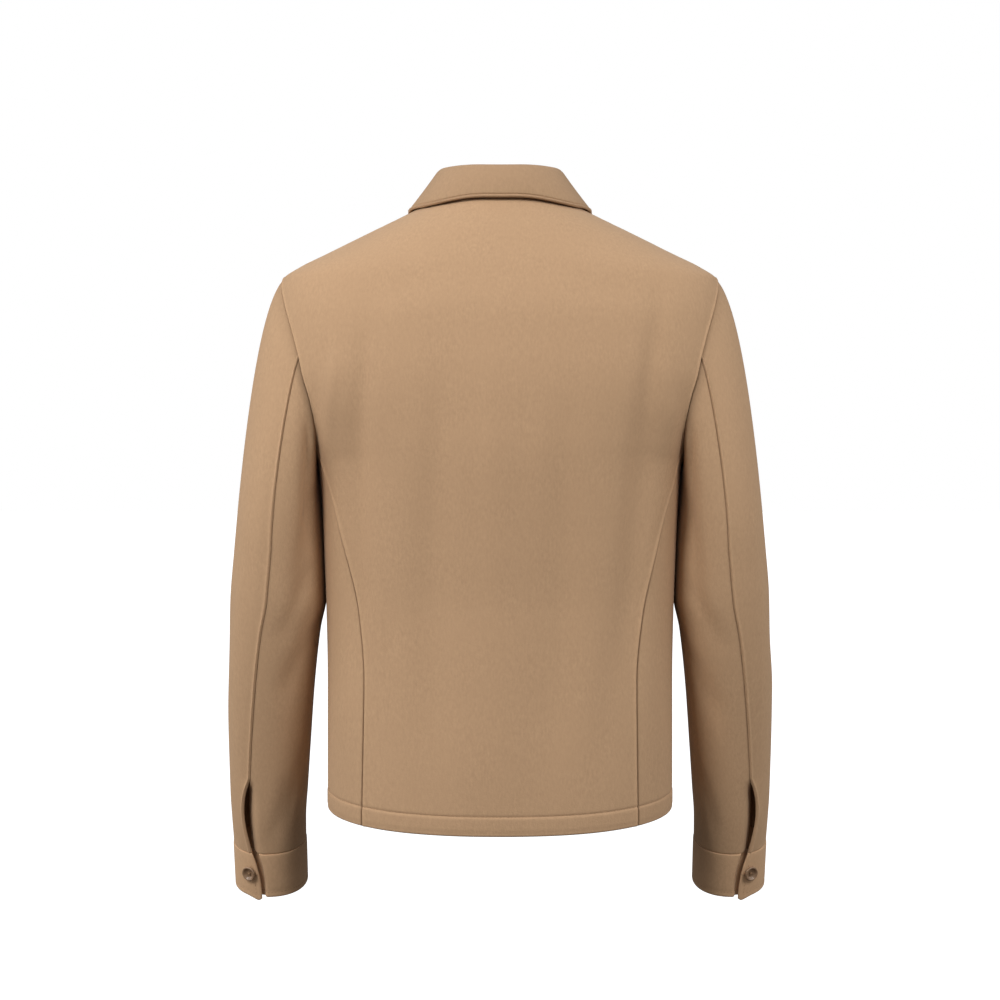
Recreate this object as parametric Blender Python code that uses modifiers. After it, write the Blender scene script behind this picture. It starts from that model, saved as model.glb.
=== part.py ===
"""A wool jacket with a shirt collar, two-piece sleeves and buttoned cuffs, filled out as if it were worn.

The front faces -Y and the wearer's left side is +X. The origin is the middle of the neck hole, at the
height where the shoulder seams meet the collar. The body panels are cut from one smooth body form, the
sleeve panels from one smooth sleeve form, and the collar is lofted round the neck hole. Panels that are
sewn to each other share the points of their seam, and each stops just short of it.
"""

import math

import bmesh
import bpy
import numpy as np
from mathutils import Vector

# Cloth, in metres
CLOTH = 0.002  # one layer of wool
DOUBLE = 0.003  # collar and cuffs, two layers pressed together
HEM_CLOTH = 0.004  # the turned-up hem
HEM_DEPTH = 0.020  # from the hem's edge up to its stitching
HEM_STEP = 0.001  # height over which the hem's second layer ends
HALF_SEAM = 0.00015  # each panel stops this far short of a seam
SEAM_GAP = 2 * HALF_SEAM

# Body form: level rings of a general figure wearing the jacket. Half widths run to +X, back to +Y and
# front to -Y. Squareness 2 is an ellipse, and more is fuller at the corners.
BODY_COLUMNS = ("height", "half_width", "back", "front", "squareness")
BODY_ROWS = (
    (-0.680, 0.182, 0.112, 0.115, 2.35),
    (-0.600, 0.182, 0.111, 0.116, 2.35),
    (-0.500, 0.182, 0.107, 0.118, 2.40),
    (-0.430, 0.1833, 0.106, 0.121, 2.40),
    (-0.360, 0.186, 0.110, 0.124, 2.40),
    (-0.300, 0.1885, 0.115, 0.127, 2.40),
    (-0.275, 0.1915, 0.117, 0.128, 2.40),
    (-0.250, 0.202, 0.118, 0.128, 2.40),
    (-0.210, 0.225, 0.118, 0.127, 2.40),
    (-0.180, 0.236, 0.117, 0.124, 2.40),
    (-0.150, 0.238, 0.114, 0.118, 2.40),
    (-0.120, 0.237, 0.110, 0.109, 2.38),
    (-0.100, 0.235, 0.105, 0.100, 2.35),
    (-0.079, 0.229, 0.098, 0.0895, 2.32),
    (-0.067, 0.212, 0.094, 0.0835, 2.30),
    (-0.055, 0.188, 0.089, 0.0755, 2.25),
    (-0.030, 0.138, 0.078, 0.0560, 2.12),
    (-0.010, 0.0975, 0.066, 0.0420, 2.03),
    (0.000, 0.078, 0.060, 0.0350, 2.00),
    (0.010, 0.060, 0.054, 0.0280, 2.00),
)

# Hem: its height at the side, and how much lower it hangs at the middle of the back and front
HEM_SIDE = -0.634
HEM_DROP_BACK = 0.0182
HEM_DROP_FRONT = 0.020
HEM_CURVE = 1.05  # how evenly it falls: 2 would keep the sides high

# Side-back seam: how far back it lies at each height. Above the blend it bends to meet the armhole.
SIDE_SEAM_BLEND = -0.32
SIDE_SEAM_COLUMNS = ("height", "depth")
SIDE_SEAM_ROWS = (
    (-0.660, 0.0790),
    (-0.617, 0.0790),
    (-0.498, 0.0770),
    (-0.432, 0.0725),
    (-0.389, 0.0680),
    (-0.351, 0.0625),
    (-0.318, 0.0565),
    (-0.2945, 0.0485),
    (-0.240, 0.0300),
)

# Armhole: an egg in side view, laid on the body form
ARMHOLE_MIDDLE = -0.177
ARMHOLE_HALF_HEIGHT = 0.098
ARMHOLE_HALF_DEPTH = 0.070
ARMHOLE_NARROWING = 0.20  # how much narrower the egg is at the top
ARMHOLE_SIDE_SEAM = 151  # degrees round the egg from its top, backwards, where the side-back seam ends
ARMHOLE_ELBOW_SEAM = 84
ARMHOLE_SHOULDER_SEAM = -10
ARMHOLE_FRONT_SEAM = -125

# Neck hole: an ellipse in plan, laid on the body form
NECK_HALF_WIDTH = 0.078
NECK_BACK = 0.060
NECK_FRONT = 0.086
NECK_POINT = -9  # degrees forward of the side, where the shoulder seam meets the collar

# Front closure: the left front laps over the right one
FRONT_LAP = 0.018
LAP_RAMP = 0.016  # width over which the left front rises over the right one
LAP_CLEAR = 0.0005  # the rise is complete this far from the right front's edge
LAP_COLUMNS = (FRONT_LAP + LAP_RAMP, FRONT_LAP + LAP_CLEAR, 0.0, -FRONT_LAP)

# Sleeve form: rings down the arm. outer and inner are distances from the middle plane, tilt is in degrees,
# with the back edge lower, and the two seams are angles from the back of the ring towards its outer side.
SLEEVE_COLUMNS = ("height", "outer", "inner", "middle", "half_depth", "tilt", "elbow_seam", "front_seam")
SLEEVE_ROWS = (
    (-0.360, 0.2808, 0.1869, -0.002, 0.0640, 2.0, 2.0, 228.0),
    (-0.412, 0.2860, 0.1854, -0.008, 0.0610, 5.0, 6.0, 228.0),
    (-0.450, 0.2884, 0.1915, -0.015, 0.0585, 7.0, 9.5, 228.0),
    (-0.509, 0.2914, 0.1988, -0.028, 0.0550, 10.0, 13.5, 227.0),
    (-0.5715, 0.2920, 0.2042, -0.042, 0.0505, 13.0, 18.5, 226.0),
    (-0.623, 0.2918, 0.2084, -0.0535, 0.0470, 15.0, 21.5, 225.0),
    (-0.656, 0.2906, 0.2110, -0.0605, 0.0445, 16.0, 22.5, 225.0),
    (-0.6795, 0.2895, 0.2113, -0.066, 0.0430, 16.0, 22.5, 225.0),
    (-0.7275, 0.2885, 0.2110, -0.077, 0.0420, 16.0, 22.5, 225.0),
)
SLEEVE_SQUARENESS = 2.15
BICEP = SLEEVE_ROWS[0][0]  # the cap runs from the armhole down to this ring
SLEEVE_END = -0.6795
CUFF_END = -0.7275
CAP_ANGLE_TOP = 46  # degrees below level at which the sleeve leaves the armhole, at its top and bottom
CAP_ANGLE_BOTTOM = 86
CAP_FLOW = 1.6  # how fast that angle steepens away from the top
CAP_STAND_OFF = 0.0016  # the lowest part of the sleeve starts this far outside the body
CAP_PULL_TOP = 0.117
CAP_PULL_BOTTOM = 0.045
CAP_NUDGE = 0.002  # step used to find the direction of the sleeve below the cap

# Vent: the elbow seam is open from here down to the cuff
VENT_TOP = -0.602
VENT_BOW = 10.0  # degrees by which the outer edge bows away
VENT_BOW_WIDTH = 22.0  # degrees over which the bow dies out
VENT_CURL = 0.0012  # the outer edge also stands off
VENT_UNDERLAP = 14.0  # degrees by which the under sleeve runs on below the top sleeve
VENT_UNDERLAP_WIDTH = 30.0  # degrees over which it sinks in
VENT_UNDERLAP_STARTS = 0.4  # share of the vent's length over which it widens
VENT_SINK = 0.0042

# Cuff: a band that starts under its own end
CUFF_PROUD = 0.0007
CUFF_UNDER_END = 50.0  # degrees, as for the seams of the sleeve
CUFF_OVER_END_TOP = 22.0
CUFF_OVER_END_FOOT = 8.0
CUFF_SINK = DOUBLE + SEAM_GAP + 0.0003  # the under end lies this far below the one on top
CUFF_SINK_ANGLES = (-26.0, 4.0)  # degrees between which the band sinks in
CUFF_BUTTON_ANGLE = 30.0
CUFF_BUTTON_HEIGHT = -0.7035
CUFF_BUTTON_RADIUS = 0.008
CUFF_BUTTON_RISE = 0.0008  # the button's foot clears the cuff's curve

# Collar: rings round the neck, by angle from the middle of the back to the front end. Columns give the
# fold's height, the fall's outer edge in plan, and how far that edge lies above the body form.
COLLAR_COLUMNS = ("angle", "fold_height", "edge_side", "edge_depth", "edge_lift")
COLLAR_ROWS = (
    (-30, 0.0368, -0.0480, 0.0615, 0.0116),
    (0, 0.0360, 0.0000, 0.0715, 0.0177),
    (30, 0.0368, 0.0480, 0.0615, 0.0116),
    (60, 0.0374, 0.0840, 0.0350, 0.0037),
    (88, 0.0362, 0.0980, -0.0030, 0.0050),
    (112, 0.0250, 0.0990, -0.0390, 0.0050),
    (136, 0.0030, 0.0910, -0.0710, 0.0065),
    (156, -0.0190, 0.0740, -0.0910, 0.0085),
    (170, -0.0340, 0.0560, -0.1020, 0.0095),
)
FOLD_HALF_WIDTH = 0.0634  # middle of the roll at the fold, in plan
FOLD_BACK = 0.0505
FOLD_FRONT = 0.0745
ROLL_RADIUS = 0.0055
ROLL_ANGLES = (180, 140, 100, 65, 35)  # degrees over the fold, from the neck side to the outside
STAND_TOP = 0.003  # the stand stops this far below the middle of the roll
FALL_SHARES = (0.33, 0.67, 1.0)
COLLAR_END = 170

# Buttons
BUTTON_RADIUS = 0.010
BUTTON_HEIGHTS = (-0.100, -0.192, -0.284, -0.376, -0.468, -0.560)
BUTTON_PROFILE = (  # share of the radius, height
    (0.0, 0.0020),
    (0.62, 0.0020),
    (0.72, 0.0030),
    (0.92, 0.0032),
    (1.0, 0.0022),
    (1.0, 0.0008),
    (0.9, 0.0),
    (0.0, 0.0),
)
BUTTON_STEPS = 18

# Largest folds of the body, the same on both sides: soft troughs along a line from top to foot
FOLD_COLUMNS = ("face", "top_side", "top_height", "foot_side", "foot_height", "half_width", "depth")
FOLD_ROWS = (
    ("back", 0.141, -0.150, 0.154, -0.390, 0.022, 0.0050),
    ("back", 0.172, -0.190, 0.176, -0.300, 0.014, -0.0020),
    ("back", 0.050, -0.400, 0.056, -0.600, 0.030, 0.0022),
    ("front", 0.124, -0.150, 0.100, -0.390, 0.024, 0.0045),
    ("front", 0.070, -0.420, 0.086, -0.620, 0.030, 0.0030),
)

# Number of quads along each seam
QUADS = {
    "side_seam": 11,
    "armhole_back_low": 5,
    "armhole_back_high": 7,
    "armhole_front_high": 8,
    "armhole_front_low": 6,
    "shoulder": 6,
    "neck_back": 4,
    "neck_front": 6,
    "cap": 8,
    "arm": 11,
    "cuff_round": 30,
    "cuff_down": 3,
    "collar_side": 13,
    "stand": 2,
}

WOOL_COLOUR = (0.42, 0.26, 0.145, 1.0)
WOOL_ROUGHNESS = 0.9
BUTTON_COLOUR = (0.20, 0.115, 0.06, 1.0)
BUTTON_ROUGHNESS = 0.45
MERGE = 0.0001  # points of the two halves this near the middle become one
SHARP = math.radians(50)  # edges sharper than this are shaded as edges


def clear_scene():
    for obj in list(bpy.data.objects):
        bpy.data.objects.remove(obj)


def smooth_curve(xs, ys):
    """A smooth curve through the values of a table that never overshoots them."""
    order = np.argsort(xs)
    xs, ys = np.asarray(xs, float)[order], np.asarray(ys, float)[order]
    steps = np.diff(xs)
    slopes = np.diff(ys) / steps
    tangents = np.concatenate([slopes[:1], np.zeros(len(xs) - 2), slopes[-1:]])
    for i in range(1, len(xs) - 1):
        if slopes[i - 1] * slopes[i] > 0:
            tangents[i] = 2 * slopes[i - 1] * slopes[i] / (slopes[i - 1] + slopes[i])

    def value(x):
        i = int(np.clip(np.searchsorted(xs, x) - 1, 0, len(xs) - 2))
        t = (x - xs[i]) / steps[i]
        start = (1 + 2 * t) * (1 - t) ** 2 * ys[i] + t * (1 - t) ** 2 * steps[i] * tangents[i]
        end = t * t * (3 - 2 * t) * ys[i + 1] + t * t * (t - 1) * steps[i] * tangents[i + 1]
        return float(start + end)

    return value


def table(columns, rows):
    """One smooth curve for each column, by the first column."""
    values = list(zip(*rows))
    return {name: smooth_curve(values[0], column) for name, column in zip(columns[1:], values[1:])}


BODY = table(BODY_COLUMNS, BODY_ROWS)
SIDE_SEAM = table(SIDE_SEAM_COLUMNS, SIDE_SEAM_ROWS)
SLEEVE = table(SLEEVE_COLUMNS, SLEEVE_ROWS)
COLLAR = table(COLLAR_COLUMNS, COLLAR_ROWS)


def signed_power(value, power):
    return math.copysign(abs(value) ** power, value)


def smooth_step(value):
    t = min(max(value, 0.0), 1.0)
    return t * t * (3 - 2 * t)


def plain_body_point(angle, height):
    """The body form without folds, angle 0 at +X and 90 degrees at the middle of the back."""
    power = 2 / BODY["squareness"](height)
    depth = BODY["back"](height) if math.sin(angle) > 0 else BODY["front"](height)
    x = BODY["half_width"](height) * signed_power(math.cos(angle), power)
    return np.array([x, depth * signed_power(math.sin(angle), power), height])


def across(point, angle, height, nudge=0.004):
    """The unit normal of the form that `point` gives, facing out."""
    along = point(angle + nudge, height) - point(angle - nudge, height)
    up = point(angle, height + nudge / 4) - point(angle, height - nudge / 4)
    normal = np.cross(along, up)
    return normal / np.linalg.norm(normal)


def fold_depth(angle, height):
    """How far the folds sink the body form here."""
    x, y, z = plain_body_point(angle, height)
    depth = 0.0
    for row in FOLD_ROWS:
        fold = dict(zip(FOLD_COLUMNS, row))
        if (fold["face"] == "back") != (y > 0):
            continue
        share = (fold["top_height"] - z) / (fold["top_height"] - fold["foot_height"])
        middle = fold["top_side"] + share * (fold["foot_side"] - fold["top_side"])
        fade = math.exp(-((2 * share - 1) ** 4))
        depth += fold["depth"] * fade * math.exp(-(((x - middle) / fold["half_width"]) ** 2))
    return depth


def body_point(angle, height):
    normal = across(plain_body_point, angle, height)
    return plain_body_point(angle, height) - fold_depth(angle, height) * normal


def body_angle(x, y, height):
    """The angle at which the body form passes over this point of the plan."""
    power = BODY["squareness"](height) / 2
    depth = BODY["back"](height) if y > 0 else BODY["front"](height)
    return math.atan2(signed_power(y / depth, power), signed_power(x / BODY["half_width"](height), power))


def body_height(x, y):
    """The height at which the body form passes over this point of the plan."""
    low, high = -0.24, 0.009
    for _ in range(40):
        height = (low + high) / 2
        power = BODY["squareness"](height)
        depth = BODY["back"](height) if y > 0 else BODY["front"](height)
        inside = abs(x / BODY["half_width"](height)) ** power + abs(y / depth) ** power < 1
        low, high = (height, high) if inside else (low, height)
    return (low + high) / 2


def hem_height(angle):
    drop = HEM_DROP_BACK if math.sin(angle) > 0 else HEM_DROP_FRONT
    return HEM_SIDE - drop * abs(math.sin(angle)) ** HEM_CURVE


def spaced(start, end, count):
    return [start + (end - start) * i / count for i in range(count + 1)]


def joined(*runs):
    """Runs of points that share their ends, as one."""
    whole = list(runs[0])
    for run in runs[1:]:
        whole += run[1:]
    return whole


def armhole(start, end, count):
    """Places on the body form along the armhole, between two angles of its egg."""
    places = []
    for degrees in spaced(start, end, count):
        turn = math.radians(degrees)
        depth = ARMHOLE_HALF_DEPTH * math.sin(turn) * (1 - ARMHOLE_NARROWING * math.cos(turn))
        height = ARMHOLE_MIDDLE + ARMHOLE_HALF_HEIGHT * math.cos(turn)
        depth_of_form = BODY["back"](height) if depth > 0 else BODY["front"](height)
        power = BODY["squareness"](height)
        side = BODY["half_width"](height) * (1 - abs(depth / depth_of_form) ** power) ** (1 / power)
        places.append((body_angle(side, depth, height), height))
    return places


def neck(start, end, count):
    """Places on the body form round the neck hole, between two angles of its ellipse."""
    places = []
    for degrees in spaced(start, end, count):
        turn = math.radians(degrees)
        x = NECK_HALF_WIDTH * math.cos(turn)
        y = (NECK_BACK if turn > 0 else NECK_FRONT) * math.sin(turn)
        height = body_height(x, y)
        places.append((body_angle(x, y, height), height))
    return places


def shoulder_seam():
    """From the armhole up to the neck, just in front of the shoulder's ridge."""
    foot = plain_body_point(*armhole(ARMHOLE_SHOULDER_SEAM, ARMHOLE_SHOULDER_SEAM, 1)[0])
    top = plain_body_point(*neck(NECK_POINT, NECK_POINT, 1)[0])
    places = []
    for share in spaced(0, 1, QUADS["shoulder"]):
        x, y = (foot + share * (top - foot))[:2]
        height = body_height(x, y)
        places.append((body_angle(x, y, height), height))
    return places


def hem_rows(place_at, top, count):
    """Places up a line from the hem: the hem's two lines of stitching first, then even steps."""
    foot = hem_height(place_at(HEM_SIDE)[0])
    heights = [foot, foot + HEM_DEPTH, foot + HEM_DEPTH + HEM_STEP]
    heights += spaced(heights[-1], top, count - 2)[1:]
    return [place_at(height) for height in heights]


def side_seam():
    """From the hem up to the armhole."""
    end = armhole(ARMHOLE_SIDE_SEAM, ARMHOLE_SIDE_SEAM, 1)[0]
    end_depth = plain_body_point(*end)[1]
    slip = end_depth - SIDE_SEAM["depth"](end[1])

    def place_at(height):
        blend = smooth_step((height - SIDE_SEAM_BLEND) / (end[1] - SIDE_SEAM_BLEND))
        depth = SIDE_SEAM["depth"](height) + slip * blend
        power = BODY["squareness"](height) / 2
        return (math.asin((depth / BODY["back"](height)) ** power), height)

    return hem_rows(place_at, end[1], QUADS["side_seam"] + 2)


def on_form(point):
    """The place on the body form beside a point near it."""
    return (body_angle(point[0], point[1], point[2]), point[2])


def patch(foot, top, side, other):
    """A grid of places inside four runs of places. Rows go up from foot to top."""
    runs = (foot, top, side, other)
    foot_at, top_at, side_at, other_at = (np.array([plain_body_point(*p) for p in run]) for run in runs)
    across_share = np.linspace(0, 1, len(foot))[None, :, None]
    up_share = np.linspace(0, 1, len(side))[:, None, None]
    between_sides = (1 - across_share) * side_at[:, None] + across_share * other_at[:, None]
    between_ends = (1 - up_share) * foot_at[None] + up_share * top_at[None]
    low = (1 - across_share) * foot_at[0] + across_share * foot_at[-1]
    high = (1 - across_share) * top_at[0] + across_share * top_at[-1]
    grid = between_sides + between_ends - (1 - up_share) * low - up_share * high
    inside = [[on_form(point) for point in row[1:-1]] for row in grid[1:-1]]
    rows = [[side[i + 1]] + row + [other[i + 1]] for i, row in enumerate(inside)]
    return [list(foot)] + rows + [list(top)]


def drawn_in(grid, border, amount):
    """Moves one border of a grid of points away from its seam, along the cloth."""
    grid = np.moveaxis(grid, 1, 0) if border in ("first_column", "last_column") else grid
    edge, inside = (0, 1) if border in ("first_row", "first_column") else (-1, -2)
    run = np.gradient(grid[edge], axis=0)
    run /= np.linalg.norm(run, axis=1)[:, None]
    step = grid[inside] - grid[edge]
    step -= (step * run).sum(axis=1)[:, None] * run
    grid[edge] += amount * step / np.linalg.norm(step, axis=1)[:, None]


def cloth_object(name, outer, inner, material, collection, open_last_column=False):
    """A wall between two grids of points, closed round its borders."""
    rows, columns = outer.shape[:2]
    mesh = bpy.data.meshes.new(name)
    built = bmesh.new()
    front = [[built.verts.new(p) for p in row] for row in outer]
    behind = [[built.verts.new(p) for p in row] for row in inner]
    for i in range(rows - 1):
        for j in range(columns - 1):
            for face in (front, behind):
                built.faces.new((face[i][j], face[i][j + 1], face[i + 1][j + 1], face[i + 1][j]))
    borders = [
        [(0, j) for j in range(columns)],
        [(rows - 1, j) for j in range(columns)],
        [(i, 0) for i in range(rows)],
    ]
    if not open_last_column:
        borders.append([(i, columns - 1) for i in range(rows)])
    for border in borders:
        for (i, j), (k, m) in zip(border, border[1:]):
            built.faces.new((front[i][j], front[k][m], behind[k][m], behind[i][j]))
    bmesh.ops.recalc_face_normals(built, faces=built.faces)
    built.to_mesh(mesh)
    built.free()
    mesh.shade_smooth()
    mesh.set_sharp_from_angle(angle=SHARP)
    obj = bpy.data.objects.new(name, mesh)
    mesh.materials.append(material)
    collection.objects.link(obj)
    return obj


def grid_normals(grid):
    """Unit normals of a grid of points, facing out for a grid whose rows go up and columns go backwards."""
    normals = np.cross(np.gradient(grid, axis=0), np.gradient(grid, axis=1))
    return normals / np.linalg.norm(normals, axis=2)[:, :, None]


def plain_material(name, colour, roughness):
    material = bpy.data.materials.new(name)
    material.use_nodes = True
    principled = material.node_tree.nodes["Principled BSDF"]
    principled.inputs["Base Color"].default_value = colour
    principled.inputs["Roughness"].default_value = roughness
    principled.inputs["Metallic"].default_value = 0.0
    return material


def hem_thickness(rows):
    thickness = np.full((rows, 1, 1), CLOTH)
    thickness[:2] = HEM_CLOTH
    return thickness


def body_grid(places):
    """Points and outward normals of a grid of places on the body form."""
    points = np.array([[body_point(*place) for place in row] for row in places])
    normals = np.array([[across(plain_body_point, *place) for place in row] for row in places])
    return points, normals


def make_back(collection):
    """The back: its left half, mirrored at the middle. The folds of its two halves are the same."""
    seam = side_seam()
    armhole_back = joined(
        armhole(ARMHOLE_SIDE_SEAM, ARMHOLE_ELBOW_SEAM, QUADS["armhole_back_low"]),
        armhole(ARMHOLE_ELBOW_SEAM, ARMHOLE_SHOULDER_SEAM, QUADS["armhole_back_high"]),
    )
    side = joined(seam, armhole_back)
    top = joined(shoulder_seam(), neck(NECK_POINT, 90, QUADS["neck_back"]))
    middle = math.pi / 2
    foot_angles = spaced(side[0][0], middle, len(top) - 1)
    foot = [(angle, hem_height(angle)) for angle in foot_angles]
    centre = hem_rows(lambda height: (middle, height), top[-1][1], len(side) - 1)
    points, normals = body_grid(patch(foot, top, side, centre))
    points[:, -1, 0] = 0
    for border in ("last_row", "first_column"):
        drawn_in(points, border, HALF_SEAM)
    normals[:, -1, 0] = 0
    inner = points - hem_thickness(len(points)) * normals
    wool = plain_material("back_wool", WOOL_COLOUR, WOOL_ROUGHNESS)
    back = cloth_object("back", points, inner, wool, collection, True)
    mirror = back.modifiers.new("Other half", "MIRROR")
    mirror.merge_threshold = MERGE


def lap_lift(points, thickness):
    """How far the left front stands off, to pass over the right one's edge."""
    lifted = np.zeros(points.shape[:2] + (1,))
    lifted[:, 1 - len(LAP_COLUMNS) :] = thickness[:, :, 0:1] + 2 * SEAM_GAP
    return lifted


def lap_place(x, share):
    """A place on the front closure: x from the middle, share of the way from the hem up to the neck seam."""

    def angle_at(height):
        power = BODY["squareness"](height) / 2
        return -math.acos(signed_power(x / BODY["half_width"](height), power))

    low = hem_height(angle_at(HEM_SIDE - HEM_DROP_FRONT))
    high = body_height(x, -NECK_FRONT * math.sqrt(1 - (x / NECK_HALF_WIDTH) ** 2))
    height = low + share * (high - low)
    return (angle_at(height), height)


def make_front(name, mirrored, collection):
    """A front, from the side-back seam round the side to its edge past the middle."""
    side = joined(
        side_seam(),
        armhole(ARMHOLE_SIDE_SEAM, 360 + ARMHOLE_FRONT_SEAM, QUADS["armhole_front_low"]),
        armhole(ARMHOLE_FRONT_SEAM, ARMHOLE_SHOULDER_SEAM, QUADS["armhole_front_high"]),
    )
    neck_end = -math.degrees(math.acos(LAP_COLUMNS[0] / NECK_HALF_WIDTH))
    top = joined(shoulder_seam(), neck(NECK_POINT, neck_end, QUADS["neck_front"]))
    length = lap_place(0, 1)[1] - lap_place(0, 0)[1]
    shares = [0, HEM_DEPTH / length, (HEM_DEPTH + HEM_STEP) / length]
    shares += spaced(shares[-1], 1, len(side) - len(shares))[1:]
    edge = [lap_place(LAP_COLUMNS[0], share) for share in shares]
    edge[-1] = top[-1]
    foot = [(angle, hem_height(angle)) for angle in spaced(side[0][0], edge[0][0], len(top) - 1)]
    edge[0] = foot[-1]
    places = patch(foot, top, side, edge)
    for row, share in zip(places, shares):
        row += [lap_place(x, share) for x in LAP_COLUMNS[1:]]
    points, normals = body_grid(places)
    for border in ("last_row", "first_column"):
        drawn_in(points, border, HALF_SEAM)
    thickness = hem_thickness(len(points))
    if not mirrored:
        points += lap_lift(points, thickness) * normals
    inner = points - thickness * normals
    if mirrored:
        points, inner = points * (-1, 1, 1), inner * (-1, 1, 1)
    cloth_object(name, points, inner, plain_material(name + "_wool", WOOL_COLOUR, WOOL_ROUGHNESS), collection)


def sleeve_ring_point(degrees, height, sink=0.0):
    """A point of the sleeve form. The angle runs from the back of the ring towards its outer side."""
    outer, inner = SLEEVE["outer"](height), SLEEVE["inner"](height)
    turn = math.radians(degrees)
    power = 2 / SLEEVE_SQUARENESS
    side = ((outer - inner) / 2 - sink) * signed_power(math.sin(turn), power)
    depth = (SLEEVE["half_depth"](height) - sink) * signed_power(math.cos(turn), power)
    lean = math.tan(math.radians(SLEEVE["tilt"](height)))
    return np.array([(outer + inner) / 2 + side, SLEEVE["middle"](height) + depth, height - lean * depth])


def cap_line(place, degrees, count):
    """Points from a place on the armhole down to the ring at the bicep."""
    start = body_point(*place)
    share = min(max((start[2] - ARMHOLE_MIDDLE) / (2 * ARMHOLE_HALF_HEIGHT) + 0.5, 0.0), 1.0)
    start = start + CAP_STAND_OFF * (1 - share) * across(plain_body_point, *place)
    leave = math.radians(CAP_ANGLE_BOTTOM + (CAP_ANGLE_TOP - CAP_ANGLE_BOTTOM) * share**CAP_FLOW)
    pull = CAP_PULL_BOTTOM + (CAP_PULL_TOP - CAP_PULL_BOTTOM) * share
    start_pull = pull * np.array([math.cos(leave), 0.0, -math.sin(leave)])
    end = sleeve_ring_point(degrees, BICEP)
    below = sleeve_ring_point(degrees, BICEP - CAP_NUDGE)
    end_pull = (end - below) / np.linalg.norm(end - below) * -np.linalg.norm(end - start)
    line = []
    for t in np.linspace(0, 1, count + 1):
        line.append(
            (1 + 2 * t) * (1 - t) ** 2 * start
            + t * (1 - t) ** 2 * start_pull
            + t * t * (3 - 2 * t) * end
            + t * t * (t - 1) * end_pull
        )
    return line


def seam_angle(name, height):
    return SLEEVE[name](min(height, BICEP))


def no_vent(from_elbow, height):
    return 0.0, 0.0


def sleeve_panel(places, first_seam, last_seam, whole_turn, vent=no_vent):
    """Points of a sleeve panel: rows go up the arm to the armhole, columns go round between its two seams.

    `vent` takes a column's distance in degrees from the elbow seam and a height, and gives the degrees by
    which the cloth shifts and how far it sinks at the open end of that seam.
    """
    count = len(places) - 1
    heights = spaced(SLEEVE_END, BICEP, QUADS["arm"])
    columns = []
    for j, place in enumerate(places):
        share = j / count
        column = []
        for height in heights[:-1]:
            start = seam_angle(first_seam, height)
            end = seam_angle(last_seam, height) + whole_turn
            degrees = start + (end - start) * share
            turn = abs(degrees - SLEEVE["elbow_seam"](height))
            from_elbow = min(turn, abs(turn - 360))
            shift, sink = vent(from_elbow, height)
            column.append(sleeve_ring_point(degrees + shift, height, sink))
        start, end = seam_angle(first_seam, BICEP), seam_angle(last_seam, BICEP) + whole_turn
        cap = cap_line(place, start + (end - start) * share, QUADS["cap"])
        columns.append(column + cap[::-1])
    return np.array(columns).transpose(1, 0, 2)


def vent_opening(height):
    """How far down the vent a height is, from 0 at its top to 1 at the cuff."""
    return min(max((VENT_TOP - height) / (VENT_TOP - SLEEVE_END), 0.0), 1.0)


def over_vent(from_elbow, height):
    """The top sleeve's edge bows away from the seam."""
    down = vent_opening(height)
    near = math.exp(-((from_elbow / VENT_BOW_WIDTH) ** 2))
    bow = near * math.sin(math.pi * down**0.8)
    return VENT_BOW * bow, -VENT_CURL * bow


def under_vent(from_elbow, height):
    """The under sleeve's edge sinks in and runs on below the top sleeve."""
    down = smooth_step(vent_opening(height) / VENT_UNDERLAP_STARTS)
    near = smooth_step(1 - from_elbow / VENT_UNDERLAP_WIDTH)
    return VENT_UNDERLAP * down * near, VENT_SINK * down * near


def ring_normals(top_points, under_points):
    """Outward normals of the two sleeve panels, taken over their shared seams."""
    ring = np.concatenate([top_points, under_points[:, 1:-1]], axis=1)
    around = np.roll(ring, -1, axis=1) - np.roll(ring, 1, axis=1)
    normals = np.cross(np.gradient(ring, axis=0), around)
    normals /= np.linalg.norm(normals, axis=2)[:, :, None]
    count = top_points.shape[1]
    return normals[:, :count], np.concatenate([normals[:, count - 1 :], normals[:, :1]], axis=1)


def make_sleeve(side, mirror, collection):
    """The top and the under sleeve."""
    top_places = joined(
        armhole(ARMHOLE_ELBOW_SEAM, ARMHOLE_SHOULDER_SEAM, QUADS["armhole_back_high"]),
        armhole(ARMHOLE_SHOULDER_SEAM, ARMHOLE_FRONT_SEAM, QUADS["armhole_front_high"]),
    )
    under_places = joined(
        armhole(360 + ARMHOLE_FRONT_SEAM, ARMHOLE_SIDE_SEAM, QUADS["armhole_front_low"]),
        armhole(ARMHOLE_SIDE_SEAM, ARMHOLE_ELBOW_SEAM, QUADS["armhole_back_low"]),
    )
    top_run = (top_places, "elbow_seam", "front_seam", 0)
    under_run = (under_places, "front_seam", "elbow_seam", 360)
    top_normals, under_normals = ring_normals(sleeve_panel(*top_run), sleeve_panel(*under_run))
    panels = (
        ("sleeve_top_" + side, sleeve_panel(*top_run, over_vent), top_normals),
        ("sleeve_under_" + side, sleeve_panel(*under_run, under_vent), under_normals),
    )
    for name, points, normals in panels:
        for border in ("first_row", "first_column", "last_column"):
            drawn_in(points, border, HALF_SEAM)
        drawn_in(points, "last_row", SEAM_GAP)
        inner = points - CLOTH * normals
        wool = plain_material(name + "_wool", WOOL_COLOUR, WOOL_ROUGHNESS)
        cloth_object(name, points * mirror, inner * mirror, wool, collection)


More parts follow.
